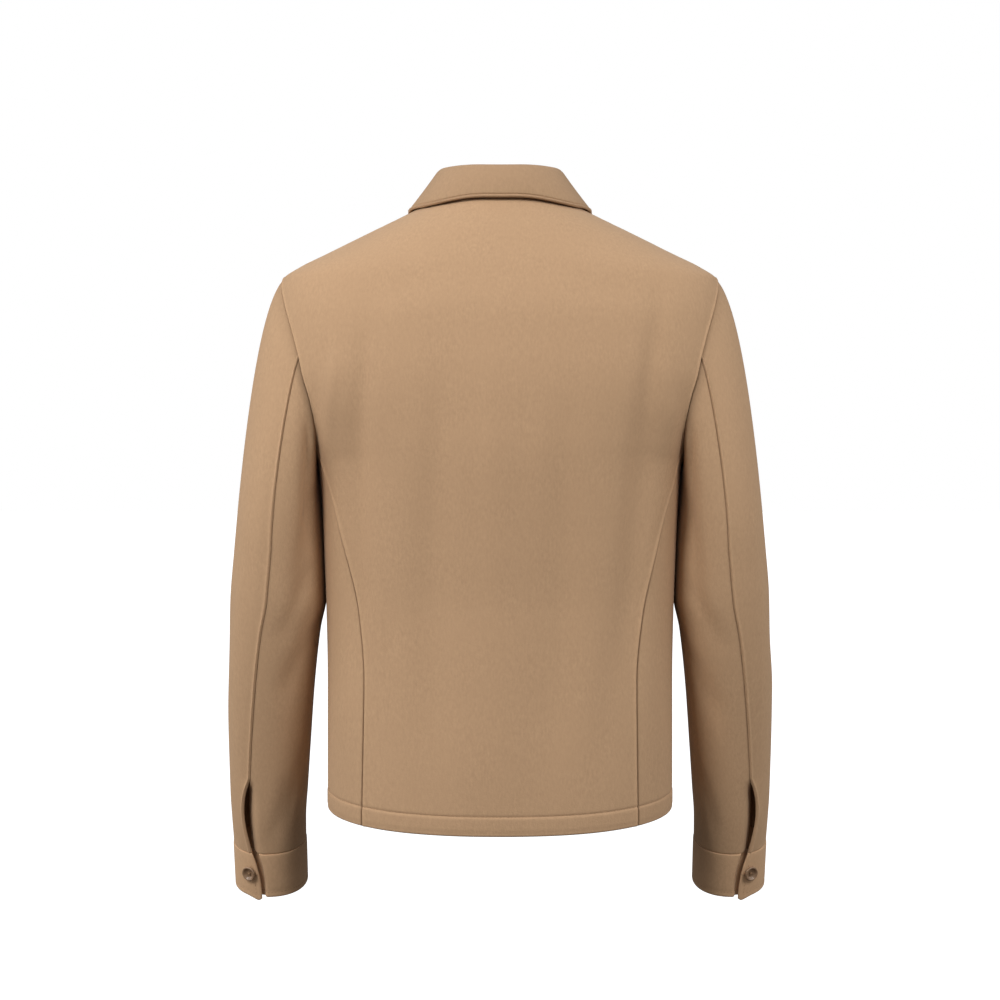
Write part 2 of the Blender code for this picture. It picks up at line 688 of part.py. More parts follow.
def make_cuff(name, mirror, collection):
    """The cuff: from its under end round the inner side, the front and the outer side to the end on top."""
    heights = spaced(CUFF_END, SLEEVE_END - SEAM_GAP, QUADS["cuff_down"])
    level, sunk = CUFF_SINK_ANGLES
    rows = []
    for height in heights:
        down = (heights[-1] - height) / (heights[-1] - heights[0])
        over_end = CUFF_OVER_END_TOP + (CUFF_OVER_END_FOOT - CUFF_OVER_END_TOP) * down - 360
        row = []
        for degrees in spaced(CUFF_UNDER_END, over_end, QUADS["cuff_round"]):
            sink = CUFF_SINK * smooth_step((degrees - level) / (sunk - level))
            row.append(sleeve_ring_point(degrees, height, sink - CUFF_PROUD))
        rows.append(row)
    points = np.array(rows)
    normals = -grid_normals(points)
    inner = points - DOUBLE * normals
    wool = plain_material(name + "_wool", WOOL_COLOUR, WOOL_ROUGHNESS)
    cloth_object(name, points * mirror, inner * mirror, wool, collection)


def neck_ring(count_side):
    """Points of the neck seam from the middle of the back to the front end of the collar."""
    ring = []
    for degrees in spaced(0, COLLAR_END, count_side):
        turn = math.radians(90 - degrees)
        x = NECK_HALF_WIDTH * math.cos(turn)
        y = (NECK_BACK if turn > 0 else NECK_FRONT) * math.sin(turn)
        ring.append(np.array([x, y, body_height(x, y)]))
    return ring


def fold_point(degrees):
    """The middle of the roll at the fold, and the level direction from the neck out through it."""
    turn = math.radians(90 - degrees)
    y = (FOLD_BACK if turn > 0 else FOLD_FRONT) * math.sin(turn)
    middle = np.array([FOLD_HALF_WIDTH * math.cos(turn), y, COLLAR["fold_height"](degrees) - ROLL_RADIUS])
    outward = np.array([middle[0], middle[1], 0.0])
    return middle, outward / np.linalg.norm(outward)


def mirrored_wall(name, points, thickness, collection):
    """A collar piece: its left half, mirrored at the middle of the back. `points` is its shown side."""
    normals = grid_normals(points)
    normals[:, 0, 0] = 0
    normals /= np.linalg.norm(normals, axis=2)[:, :, None]
    points[:, 0, 0] = 0
    inner = points - thickness * normals
    wool = plain_material(name + "_wool", WOOL_COLOUR, WOOL_ROUGHNESS)
    piece = cloth_object(name, points[:, ::-1], inner[:, ::-1], wool, collection, True)
    mirror = piece.modifiers.new("Other half", "MIRROR")
    mirror.merge_threshold = MERGE


def fall_line(degrees):
    """Points of the collar's shown side: up from the stand, over the fold and down to the edge."""
    middle, outward = fold_point(degrees)
    up = np.array([0.0, 0.0, 1.0])
    line = [middle - ROLL_RADIUS * outward - (STAND_TOP - HALF_SEAM) * up]
    for turn in map(math.radians, ROLL_ANGLES):
        line.append(middle + ROLL_RADIUS * (math.cos(turn) * outward + math.sin(turn) * up))
    start = line[-1]
    side, depth = COLLAR["edge_side"](degrees), COLLAR["edge_depth"](degrees)
    edge = np.array([side, depth, body_height(side, depth) + COLLAR["edge_lift"](degrees)])
    last = math.radians(ROLL_ANGLES[-1])
    reach = np.linalg.norm(edge - start) / 2
    bend = start + reach * (math.sin(last) * outward - math.cos(last) * up)
    for t in FALL_SHARES:
        line.append((1 - t) ** 2 * start + 2 * t * (1 - t) * bend + t * t * edge)
    return line


def make_collar(collection):
    """The stand, which rises from the neck seam, and the fall, which turns over its top."""
    angles = spaced(0, COLLAR_END, QUADS["collar_side"])
    ring = neck_ring(QUADS["collar_side"])
    tops = []
    for middle, outward in map(fold_point, angles):
        tops.append(middle - (ROLL_RADIUS - DOUBLE) * outward - (0, 0, STAND_TOP))
    shares = spaced(0, 1, QUADS["stand"])
    stand = np.array([[low + share * (high - low) for low, high in zip(ring, tops)] for share in shares])
    drawn_in(stand, "first_row", 3 * SEAM_GAP)
    drawn_in(stand, "last_row", SEAM_GAP)
    mirrored_wall("collar_stand", stand, DOUBLE, collection)
    fall = np.array([fall_line(degrees) for degrees in angles]).transpose(1, 0, 2)
    mirrored_wall("collar", fall[::-1], DOUBLE, collection)


def make_button(name, place, facing, radius, collection):
    """A turned button with a rim round a sunken middle."""
    mesh = bpy.data.meshes.new(name)
    profile = [(radius * share, 0, height) for share, height in BUTTON_PROFILE]
    mesh.from_pydata(profile, [(i, i + 1) for i in range(len(profile) - 1)], [])
    button = bpy.data.objects.new(name, mesh)
    mesh.materials.append(plain_material(name + "_horn", BUTTON_COLOUR, BUTTON_ROUGHNESS))
    turn = button.modifiers.new("Turned", "SCREW")
    turn.steps = turn.render_steps = BUTTON_STEPS
    turn.use_merge_vertices = True
    turn.merge_threshold = MERGE
    button.location = place
    button.rotation_euler = Vector(facing).to_track_quat("Z", "Y").to_euler()
    collection.objects.link(button)


def make_cuff_button(name, mirror, collection):
    """The button that holds the cuff's ends together."""
    spot = sleeve_ring_point(CUFF_BUTTON_ANGLE, CUFF_BUTTON_HEIGHT, -CUFF_PROUD)
    beside = sleeve_ring_point(CUFF_BUTTON_ANGLE + 2, CUFF_BUTTON_HEIGHT, -CUFF_PROUD)
    below = sleeve_ring_point(CUFF_BUTTON_ANGLE, CUFF_BUTTON_HEIGHT - CUFF_BUTTON_RADIUS, -CUFF_PROUD)
    facing = np.cross(spot - beside, spot - below)
    facing /= np.linalg.norm(facing) * math.copysign(1, facing[1])
    spot += CUFF_BUTTON_RISE * facing
    make_button(name, spot * mirror, facing * mirror, CUFF_BUTTON_RADIUS, collection)


def make_front_button(name, height, collection):
    """A button on the left front, at the middle."""
    middle = -math.pi / 2
    facing = across(plain_body_point, middle, height)
    spot = body_point(middle, height) + (CLOTH + 3 * SEAM_GAP) * facing
    make_button(name, spot, facing, BUTTON_RADIUS, collection)


clear_scene()
jacket = bpy.data.collections.new("wool_jacket")
bpy.context.scene.collection.children.link(jacket)
make_back(jacket)
make_front("front_left", False, jacket)
make_front("front_right", True, jacket)
make_collar(jacket)
for side, mirror in (("left", np.array([1, 1, 1])), ("right", np.array([-1, 1, 1]))):
    make_sleeve(side, mirror, jacket)
    make_cuff("cuff_" + side, mirror, jacket)
    make_cuff_button("cuff_button_" + side, mirror, jacket)
for number, height in enumerate(BUTTON_HEIGHTS, 1):
    make_front_button("front_button_%d" % number, height, jacket)
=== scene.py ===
"""The looks of the wool jacket: fine cloth panels on its solid forms, their sewing, buttons and wool.

The jacket's front faces -Y and the wearer's left side is +X. Sizes are in metres.
"""

import math

import bmesh
import bpy
import numpy as np
from mathutils import Matrix, Vector


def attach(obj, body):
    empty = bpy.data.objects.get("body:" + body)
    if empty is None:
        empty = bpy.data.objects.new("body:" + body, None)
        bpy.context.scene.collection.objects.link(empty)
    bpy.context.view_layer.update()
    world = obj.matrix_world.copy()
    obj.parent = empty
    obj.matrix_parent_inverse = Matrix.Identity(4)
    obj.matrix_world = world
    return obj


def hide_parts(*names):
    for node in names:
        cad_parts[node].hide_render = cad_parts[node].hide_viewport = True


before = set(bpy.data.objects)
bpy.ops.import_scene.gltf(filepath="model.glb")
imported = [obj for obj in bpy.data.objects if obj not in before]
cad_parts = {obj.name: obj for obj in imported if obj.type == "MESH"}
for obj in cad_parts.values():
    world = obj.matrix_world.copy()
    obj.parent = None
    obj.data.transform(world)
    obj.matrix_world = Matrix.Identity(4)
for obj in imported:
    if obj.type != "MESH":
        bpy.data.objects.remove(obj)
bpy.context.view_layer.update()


# Wool. The cloth is a heavy melton: woven, felted and raised, so a short nap of camel and lighter hairs
# hides the weave. Two shader groups are shared by every wool piece: the nap's colour and its relief.
WOOL_DARK = (0.430, 0.268, 0.151, 1.0)
WOOL_MAIN = (0.500, 0.315, 0.180, 1.0)
WOOL_LIGHT = (0.575, 0.367, 0.213, 1.0)
HAIR_SCALE = 900.0  # nap hairs, about 1 mm
HAIR_LIE = (1, 1, 0.4)  # hairs and flecks are longer down the cloth
FLECK_SCALE = 420.0
FLECK_LIE = (1, 1, 0.45)
FLECK_CONTRAST = 1.6
CLOUD_SCALE = 26.0  # where the nap lies in different directions
CLOUD_CONTRAST = 1.2


def new_group(name, outputs):
    """An empty shader group with the given outputs, and its output node."""
    group = bpy.data.node_groups.new(name, "ShaderNodeTree")
    for label, kind in outputs:
        group.interface.new_socket(name=label, in_out="OUTPUT", socket_type=kind)
    return group, group.nodes.new("NodeGroupOutput")


def noise(group, place, scale, detail, stretch=(1, 1, 1)):
    """Noise in object space, stretched along the axes."""
    mapping = group.nodes.new("ShaderNodeMapping")
    mapping.inputs["Scale"].default_value = stretch
    group.links.new(place, mapping.inputs["Vector"])
    texture = group.nodes.new("ShaderNodeTexNoise")
    texture.inputs["Scale"].default_value = scale
    texture.inputs["Detail"].default_value = detail
    texture.inputs["Roughness"].default_value = 0.6
    group.links.new(mapping.outputs["Vector"], texture.inputs["Vector"])
    return texture.outputs["Fac"]


def blend(group, low, high, share, amount=1.0):
    """A mix of two values or sockets by a share."""
    node = group.nodes.new("ShaderNodeMix")
    node.data_type = "RGBA"
    scaled = group.nodes.new("ShaderNodeMapRange")
    scaled.inputs["From Min"].default_value = 0.5 - 0.5 / amount
    scaled.inputs["From Max"].default_value = 0.5 + 0.5 / amount
    group.links.new(share, scaled.inputs["Value"])
    group.links.new(scaled.outputs["Result"], node.inputs["Factor"])
    for value, socket in ((low, node.inputs["A"]), (high, node.inputs["B"])):
        if isinstance(value, tuple):
            socket.default_value = value
        else:
            group.links.new(value, socket)
    return node.outputs["Result"]


nap_colour, colour_end = new_group("nap colour", (("Color", "NodeSocketColor"),))
nap_colour.interface.new_socket(name="Shade", in_out="INPUT", socket_type="NodeSocketFloat")
shade = nap_colour.nodes.new("NodeGroupInput").outputs["Shade"]
place = nap_colour.nodes.new("ShaderNodeTexCoord").outputs["Object"]
flecks = noise(nap_colour, place, FLECK_SCALE, 2.0, FLECK_LIE)
flecked = blend(nap_colour, WOOL_DARK, WOOL_LIGHT, flecks, FLECK_CONTRAST)
clouds = noise(nap_colour, place, CLOUD_SCALE, 3.0)
clouded = blend(nap_colour, flecked, WOOL_MAIN, clouds, CLOUD_CONTRAST)
shaded = nap_colour.nodes.new("ShaderNodeVectorMath")
shaded.operation = "SCALE"
nap_colour.links.new(clouded, shaded.inputs[0])
nap_colour.links.new(shade, shaded.inputs["Scale"])
nap_colour.links.new(shaded.outputs["Vector"], colour_end.inputs["Color"])

nap_relief, relief_end = new_group("nap relief", (("Height", "NodeSocketFloat"),))
place = nap_relief.nodes.new("ShaderNodeTexCoord").outputs["Object"]
hairs = noise(nap_relief, place, HAIR_SCALE, 4.0, HAIR_LIE)
flecks = noise(nap_relief, place, FLECK_SCALE, 3.0)
total = nap_relief.nodes.new("ShaderNodeMath")
nap_relief.links.new(hairs, total.inputs[0])
nap_relief.links.new(flecks, total.inputs[1])
nap_relief.links.new(total.outputs["Value"], relief_end.inputs["Height"])


def wool(name, shade=1.0):
    """Wool with its nap's colour and relief, and the soft sheen of raised hair. `shade` scales the colour of
    a whole piece; on the cuffs it is painted light that brightens them. A float attribute on the mesh paints
    light and
    shade from point to point: painted shade in seams and below the arm, and a painted highlight beside some
    seams."""
    material = bpy.data.materials.new(name)
    material.use_nodes = True
    nodes, links = material.node_tree.nodes, material.node_tree.links
    principled = nodes["Principled BSDF"]
    principled.inputs["Roughness"].default_value = 0.92
    principled.inputs["Specular IOR Level"].default_value = 0.2
    principled.inputs["Sheen Weight"].default_value = 0.15
    principled.inputs["Sheen Roughness"].default_value = 0.55
    principled.inputs["Sheen Tint"].default_value = (1.0, 0.86, 0.70, 1.0)
    colour = nodes.new("ShaderNodeGroup")
    colour.node_tree = nap_colour
    painted_light_attribute = nodes.new("ShaderNodeAttribute")
    painted_light_attribute.attribute_name = "painted_light"
    tone = nodes.new("ShaderNodeMath")
    tone.operation = "MULTIPLY_ADD"
    links.new(painted_light_attribute.outputs["Fac"], tone.inputs[0])
    tone.inputs[1].default_value = shade
    tone.inputs[2].default_value = shade
    links.new(tone.outputs["Value"], colour.inputs["Shade"])
    links.new(colour.outputs["Color"], principled.inputs["Base Color"])
    relief = nodes.new("ShaderNodeGroup")
    relief.node_tree = nap_relief
    bump = nodes.new("ShaderNodeBump")
    bump.inputs["Strength"].default_value = 0.35
    bump.inputs["Distance"].default_value = 0.0006
    links.new(relief.outputs["Height"], bump.inputs["Height"])
    links.new(bump.outputs["Normal"], principled.inputs["Normal"])
    return material


# Body panels: the back and the two fronts, cut from melton and sewn at curved side-back seams and at the
# shoulders. They lie on one smooth body form; each panel's rim rolls down into its seams.
CLOTH = 0.002
HEM_CLOTH = 0.004
HEM_DEPTH = 0.020
BODY_COLUMNS = ("height", "half_width", "back", "front", "squareness")
BODY_ROWS = (
    (-0.680, 0.182, 0.112, 0.115, 2.35),
    (-0.600, 0.182, 0.111, 0.116, 2.35),
    (-0.500, 0.182, 0.107, 0.118, 2.40),
    (-0.430, 0.1833, 0.106, 0.121, 2.40),
    (-0.360, 0.186, 0.110, 0.124, 2.40),
    (-0.300, 0.1885, 0.115, 0.127, 2.40),
    (-0.275, 0.1915, 0.117, 0.128, 2.40),
    (-0.250, 0.202, 0.118, 0.128, 2.40),
    (-0.210, 0.225, 0.118, 0.127, 2.40),
    (-0.180, 0.236, 0.117, 0.124, 2.40),
    (-0.150, 0.238, 0.114, 0.118, 2.40),
    (-0.120, 0.237, 0.110, 0.109, 2.38),
    (-0.100, 0.235, 0.105, 0.100, 2.35),
    (-0.079, 0.229, 0.098, 0.0895, 2.32),
    (-0.067, 0.212, 0.094, 0.0835, 2.30),
    (-0.055, 0.188, 0.089, 0.0755, 2.25),
    (-0.030, 0.138, 0.078, 0.0560, 2.12),
    (-0.010, 0.0975, 0.066, 0.0420, 2.03),
    (0.000, 0.078, 0.060, 0.0350, 2.00),
    (0.010, 0.060, 0.054, 0.0280, 2.00),
)
HEM_SIDE = -0.634
HEM_DROP_BACK = 0.0182
HEM_DROP_FRONT = 0.020
HEM_CURVE = 1.05
SIDE_SEAM_COLUMNS = ("height", "depth")
SIDE_SEAM_ROWS = (
    (-0.660, 0.0790),
    (-0.617, 0.0790),
    (-0.498, 0.0770),
    (-0.432, 0.0725),
    (-0.389, 0.0680),
    (-0.351, 0.0625),
    (-0.318, 0.0565),
    (-0.2945, 0.0485),
    (-0.240, 0.0300),
)
SIDE_SEAM_BLEND = -0.32
ARMHOLE_MIDDLE = -0.177
ARMHOLE_HALF_HEIGHT = 0.098
ARMHOLE_HALF_DEPTH = 0.070
ARMHOLE_NARROWING = 0.20
ARMHOLE_SIDE_SEAM = 151
ARMHOLE_ELBOW_SEAM = 84
ARMHOLE_SHOULDER_SEAM = -10
ARMHOLE_FRONT_SEAM = -125
NECK_HALF_WIDTH = 0.078
NECK_BACK = 0.060
NECK_FRONT = 0.086
NECK_POINT = -9
FRONT_LAP = 0.018
LAP_RAMP = 0.016
LAP_GAP = 0.0006
LAP_RISE = CLOTH + LAP_GAP
SHOULDER_HEIGHTS = (-0.24, 0.009)  # the form narrows all the way up between these

# Creases of the body, as seen from outside: x and height of both ends, how far the middle bows to +X,
# half width and depth. A negative depth is a soft ridge.
CREASE_BLEND = 0.06  # depth at the sides over which the back's creases give way to the front's
CREASE_COLUMNS = ("side_a", "height_a", "side_b", "height_b", "bow", "half_width", "depth")
BACK_CREASES = (
    (0.137, -0.160, 0.142, -0.520, 0.008, 0.017, 0.0058),
    (0.168, -0.165, 0.178, -0.290, 0.002, 0.012, -0.0030),
    (-0.162, -0.120, -0.130, -0.510, 0.005, 0.017, 0.0054),
    (-0.178, -0.210, -0.172, -0.330, 0.0, 0.012, -0.0028),
    (0.060, -0.200, 0.070, -0.610, 0.004, 0.024, 0.0042),
    (-0.066, -0.230, -0.052, -0.600, -0.003, 0.025, 0.0040),
    (0.006, -0.180, -0.004, -0.580, 0.003, 0.024, -0.0030),
    (0.108, -0.420, 0.118, -0.610, 0.004, 0.022, 0.0018),
    (-0.112, -0.440, -0.104, -0.600, -0.003, 0.020, 0.0016),
    (0.060, -0.090, 0.150, -0.105, 0.0, 0.018, 0.0012),
    (-0.070, -0.095, -0.160, -0.100, 0.0, 0.016, 0.0012),
)
FRONT_CREASES = (
    (0.124, -0.150, 0.100, -0.390, 0.008, 0.024, 0.0050),
    (-0.126, -0.140, -0.106, -0.380, -0.006, 0.023, 0.0048),
    (0.070, -0.420, 0.086, -0.620, 0.004, 0.028, 0.0030),
    (-0.078, -0.430, -0.088, -0.610, -0.004, 0.030, 0.0026),
    (0.034, -0.300, 0.040, -0.560, 0.002, 0.016, 0.0016),
    (-0.045, -0.280, -0.040, -0.500, -0.002, 0.018, 0.0015),
    (0.160, -0.300, 0.150, -0.560, 0.004, 0.016, 0.0018),
    (-0.158, -0.320, -0.150, -0.540, -0.003, 0.017, 0.0017),
)


def smooth_curve(xs, ys):
    """A smooth curve through the values of a table that never overshoots them."""
    order = np.argsort(xs)
    xs, ys = np.asarray(xs, float)[order], np.asarray(ys, float)[order]
    steps = np.diff(xs)
    slopes = np.diff(ys) / steps
    before, after = slopes[:-1], slopes[1:]
    turning = before * after <= 0
    inner = np.where(turning, 0, 2 * before * after / np.where(turning, 1, before + after))
    tangents = np.concatenate([slopes[:1], inner, slopes[-1:]])

    def value(x):
        i = np.clip(np.searchsorted(xs, x) - 1, 0, len(xs) - 2)
        t = (x - xs[i]) / steps[i]
        start = (1 + 2 * t) * (1 - t) ** 2 * ys[i] + t * (1 - t) ** 2 * steps[i] * tangents[i]
        return start + t * t * (3 - 2 * t) * ys[i + 1] + t * t * (t - 1) * steps[i] * tangents[i + 1]

    return value


def table(columns, rows):
    """One smooth curve for each column, by the first column."""
    values = list(zip(*rows))
    return {name: smooth_curve(values[0], column) for name, column in zip(columns[1:], values[1:])}


BODY = table(BODY_COLUMNS, BODY_ROWS)
SIDE_SEAM = table(SIDE_SEAM_COLUMNS, SIDE_SEAM_ROWS)


def signed_power(value, power):
    return np.sign(value) * np.abs(value) ** power


def smooth_step(value):
    t = np.clip(value, 0.0, 1.0)
    return t * t * (3 - 2 * t)


def plain_body_point(angle, height):
    """The body form without creases, angle 0 at +X and 90 degrees at the middle of the back."""
    power = 2 / BODY["squareness"](height)
    depth = np.where(np.sin(angle) > 0, BODY["back"](height), BODY["front"](height))
    x = BODY["half_width"](height) * signed_power(np.cos(angle), power)
    y = depth * signed_power(np.sin(angle), power)
    return np.stack(np.broadcast_arrays(x, y, height), axis=-1)


def across(point, angle, height, nudge=0.004):
    """Unit normals of the form that `point` gives, facing out."""
    along = point(angle + nudge, height) - point(angle - nudge, height)
    up = point(angle, height + nudge / 4) - point(angle, height - nudge / 4)
    normal = np.cross(along, up)
    return normal / np.linalg.norm(normal, axis=-1, keepdims=True)


def crease_depth(rows, side, height):
    """How far the creases sink the cloth at each place: a soft trough with a faint ridge on both sides."""
    depth = np.zeros(np.shape(side))
    for row in rows:
        crease = dict(zip(CREASE_COLUMNS, row))
        start = np.array([crease["side_a"], crease["height_a"]])
        run = np.array([crease["side_b"], crease["height_b"]]) - start
        length = np.hypot(*run)
        share = ((side - start[0]) * run[0] + (height - start[1]) * run[1]) / length**2
        off = ((side - start[0]) * run[1] - (height - start[1]) * run[0]) / length
        off = off + crease["bow"] * math.copysign(1, run[1]) * -4 * share * (1 - share)
        fade = np.exp(-((2 * share - 1) ** 4))
        reach = (off / (crease["half_width"] * (0.75 + 0.5 * np.clip(share, 0, 1)))) ** 2
        depth += crease["depth"] * fade * (1 - 0.35 * reach) * np.exp(-reach)
    return depth


def body_point(angle, height):
    """The body form with its creases."""
    plain = plain_body_point(angle, height)
    back = crease_depth(BACK_CREASES, plain[..., 0], plain[..., 2])
    front = crease_depth(FRONT_CREASES, plain[..., 0], plain[..., 2])
    turned = smooth_step(0.5 + plain[..., 1] / CREASE_BLEND)
    depth = turned * back + (1 - turned) * front
    return plain - depth[..., None] * across(plain_body_point, angle, height)


def body_angle(x, y, height):
    """The angle at which the body form passes over this point of the plan."""
    power = BODY["squareness"](height) / 2
    depth = np.where(y > 0, BODY["back"](height), BODY["front"](height))
    return np.arctan2(signed_power(y / depth, power), signed_power(x / BODY["half_width"](height), power))


def body_height(x, y):
    """The height at which the body form passes over this point of the plan."""
    x, y = np.broadcast_arrays(np.asarray(x, float), y)
    low, high = (np.full(x.shape, height) for height in SHOULDER_HEIGHTS)
    for _ in range(40):
        height = (low + high) / 2
        power = BODY["squareness"](height)
        depth = np.where(y > 0, BODY["back"](height), BODY["front"](height))
        inside = abs(x / BODY["half_width"](height)) ** power + abs(y / depth) ** power < 1
        low, high = np.where(inside, height, low), np.where(inside, high, height)
    return (low + high) / 2


def hem_height(angle):
    drop = np.where(np.sin(angle) > 0, HEM_DROP_BACK, HEM_DROP_FRONT)
    return HEM_SIDE - drop * np.abs(np.sin(angle)) ** HEM_CURVE


def armhole(degrees):
    """Places on the body form along the armhole, by the angle of its egg."""
    turn = np.radians(degrees)
    depth = ARMHOLE_HALF_DEPTH * np.sin(turn) * (1 - ARMHOLE_NARROWING * np.cos(turn))
    height = ARMHOLE_MIDDLE + ARMHOLE_HALF_HEIGHT * np.cos(turn)
    form_depth = np.where(depth > 0, BODY["back"](height), BODY["front"](height))
    power = BODY["squareness"](height)
    side = BODY["half_width"](height) * (1 - abs(depth / form_depth) ** power) ** (1 / power)
    return np.stack([body_angle(side, depth, height), height], axis=-1)


def plan_places(x, y):
    height = body_height(x, y)
    return np.stack([body_angle(x, y, height), height], axis=-1)


def neck(degrees):
    """Places on the body form round the neck hole, by the angle of its ellipse."""
    turn = np.radians(degrees)
    depth = np.where(turn > 0, NECK_BACK, NECK_FRONT)
    return plan_places(NECK_HALF_WIDTH * np.cos(turn), depth * np.sin(turn))


def shoulder_seam(share):
    """Places from the armhole up to the neck, just in front of the shoulder's ridge."""
    foot = plain_body_point(*armhole(ARMHOLE_SHOULDER_SEAM))
    top = plain_body_point(*neck(NECK_POINT))
    x, y = (foot[:2] + share[:, None] * (top - foot)[:2]).T
    return plan_places(x, y)


def side_seam(height):
    """Places on the side-back seam."""
    end_depth = plain_body_point(*armhole(ARMHOLE_SIDE_SEAM))[1]
    end = armhole(ARMHOLE_SIDE_SEAM)[1]
    blend_in = smooth_step((height - SIDE_SEAM_BLEND) / (end - SIDE_SEAM_BLEND))
    depth = SIDE_SEAM["depth"](height) + (end_depth - SIDE_SEAM["depth"](end)) * blend_in
    power = BODY["squareness"](height) / 2
    return np.stack([np.arcsin((depth / BODY["back"](height)) ** power), height], axis=-1)


# Distances from an edge at which a panel has points: close together where its rim rolls or is stitched
RIM_STEPS = np.array([0.0, 0.0004, 0.0009, 0.0016, 0.0026, 0.0040, 0.0058, 0.0080])
HEM_STEPS = np.concatenate([RIM_STEPS, np.array([12, 15.5, 17.5, 18.6, 19.3, 20, 20.7, 21.5, 23, 26]) / 1000])
PANEL_STEP = 0.0038


def steps(length, first=RIM_STEPS, last=RIM_STEPS):
    """Shares of a length: the given steps from both ends, and even ones between."""
    middle = length - first[-1] - last[-1]
    count = max(int(middle / PANEL_STEP), 2)
    even = first[-1] + middle * np.arange(1, count) / count
    return np.concatenate([first, even, length - last[::-1]]) / length


def patch(foot, top, side, other, across_share, up_share):
    """A grid of places inside four runs of places. Rows go up from foot to top."""
    foot_at, top_at, side_at, other_at = (plain_body_point(*run.T) for run in (foot, top, side, other))
    u, v = across_share[None, :, None], up_share[:, None, None]
    grid = (1 - u) * side_at[:, None] + u * other_at[:, None] + (1 - v) * foot_at[None] + v * top_at[None]
    grid -= (1 - v) * ((1 - u) * foot_at[0] + u * foot_at[-1]) + v * ((1 - u) * top_at[0] + u * top_at[-1])
    x, y, z = np.moveaxis(grid, -1, 0)
    places = np.stack([body_angle(x, y, z), z], axis=-1)
    places[0], places[-1], places[:, 0], places[:, -1] = foot, top, side, other
    return places


def distance_in(points, border):
    """How far each point of a grid lies from one of its borders, along the cloth."""
    grid = np.moveaxis(points, 1, 0) if border in ("first_column", "last_column") else points
    grid = grid[::-1] if border.startswith("last") else grid
    lengths = np.linalg.norm(np.diff(grid, axis=0), axis=-1)
    away = np.concatenate([np.zeros((1,) + lengths.shape[1:]), np.cumsum(lengths, axis=0)])
    away = away[::-1] if border.startswith("last") else away
    return np.moveaxis(away, 1, 0) if border in ("first_column", "last_column") else away


def rim(away, radius):
    """How far a rounded rim drops at each distance from its edge."""
    inside = np.clip(1 - away / radius, 0, 1)
    return radius * (1 - np.sqrt(1 - inside**2))


def ridge(away, start, end, height):
    """A low flat ridge between two distances from an edge, such as over a pressed seam allowance."""
    edge = 0.0012
    return height * smooth_step((away - start) / edge) * smooth_step((end + 2 * edge - away) / (2 * edge))


def groove(away, place, half_width, depth):
    """The dent of a line of stitching at a distance from an edge."""
    return depth * np.exp(-(((away - place) / half_width) ** 2))


RIDGE_PLACE = 0.0027
RIDGE_HALF_WIDTH = 0.0010
SEAM_HALF_WIDTH = 0.0014


def painted_seam_light(away, dark, light):
    """Painted shade along a seam and a painted highlight on the ridge beside it, by the distance from the
    seam.
    """
    return groove(away, RIDGE_PLACE, RIDGE_HALF_WIDTH, light) - groove(away, 0.0, SEAM_HALF_WIDTH, dark)


def shell(name, outer, inner, painted_light, material):
    """A closed wall between two grids of points, as a piece of the jacket. Its painted light is how much
    lighter or darker its cloth's colour is painted at each point of the shown side: painted shade and painted
    highlights."""
    rows, columns = outer.shape[:2]
    index = np.arange(rows * columns).reshape(rows, columns)
    quads = np.stack([index[:-1, :-1], index[:-1, 1:], index[1:, 1:], index[1:, :-1]], axis=-1).reshape(-1, 4)
    loop = np.concatenate([index[0], index[1:, -1], index[-1, -2::-1], index[-2:0:-1, 0]])
    after = np.roll(loop, -1)
    behind = rows * columns
    walls = np.stack([loop, loop + behind, after + behind, after], axis=-1)
    faces = np.concatenate([quads, quads[:, ::-1] + behind, walls])
    mesh = bpy.data.meshes.new(name)
    points = np.concatenate([outer.reshape(-1, 3), inner.reshape(-1, 3)])
    mesh.from_pydata(points.tolist(), [], faces.tolist())
    built = bmesh.new()
    built.from_mesh(mesh)
    bmesh.ops.recalc_face_normals(built, faces=built.faces)
    built.to_mesh(mesh)
    built.free()
    mesh.shade_smooth()
    mesh.set_sharp_from_angle(angle=math.radians(60))
    shades = np.concatenate([np.broadcast_to(painted_light, (rows, columns)).ravel(), np.zeros(rows * columns)])
    mesh.attributes.new("painted_light", "FLOAT", "POINT").data.foreach_set("value", shades)
    mesh.materials.append(material)
    piece = bpy.data.objects.new(name, mesh)
    bpy.context.scene.collection.objects.link(piece)
    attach(piece, "root")
    return piece


def wall(name, points, normals, thickness, drop, round_inside, material, painted_light=0.0):
    """A panel: its points, lowered by `drop` on the shown side, and its inside."""
    outer = points - drop[..., None] * normals
    inner = points - (thickness - round_inside)[..., None] * normals
    return shell(name, outer, inner, painted_light, material)


SEAM_ROLL = 0.0011
DEEP_ROLL = 0.0016  # at the side-back seams
SIDE_RIDGE = (0.0004, 0.0028, 0.0009)  # its start, end and height beside the side-back seams
# Painted shade in the side-back seams and a painted highlight on the ridge beside them
SIDE_DARK = 0.30
SIDE_LIGHT = 0.10
ARMHOLE_LENGTH = 0.26
SHOULDER_LENGTH = 0.150
NECK_LENGTH = 0.100
BACK_NECK_SHARE = 0.36  # the neck's share of the width of a half back
FRONT_NECK_SHARE = 0.42
THREAD = 0.00022
STITCH = 0.0030
STITCH_SPACING = 0.0037
STITCH_HEIGHTS = (-0.0005, 0.0001, 0.0002, 0.0001, -0.0005)
THREAD_SIDES = 5
THREAD_COLOUR = (0.40, 0.235, 0.125, 1.0)
body_wool = wool("body_wool")
thread = bpy.data.materials.new("thread")
thread.use_nodes = True
thread.node_tree.nodes["Principled BSDF"].inputs["Base Color"].default_value = THREAD_COLOUR
thread.node_tree.nodes["Principled BSDF"].inputs["Roughness"].default_value = 0.7


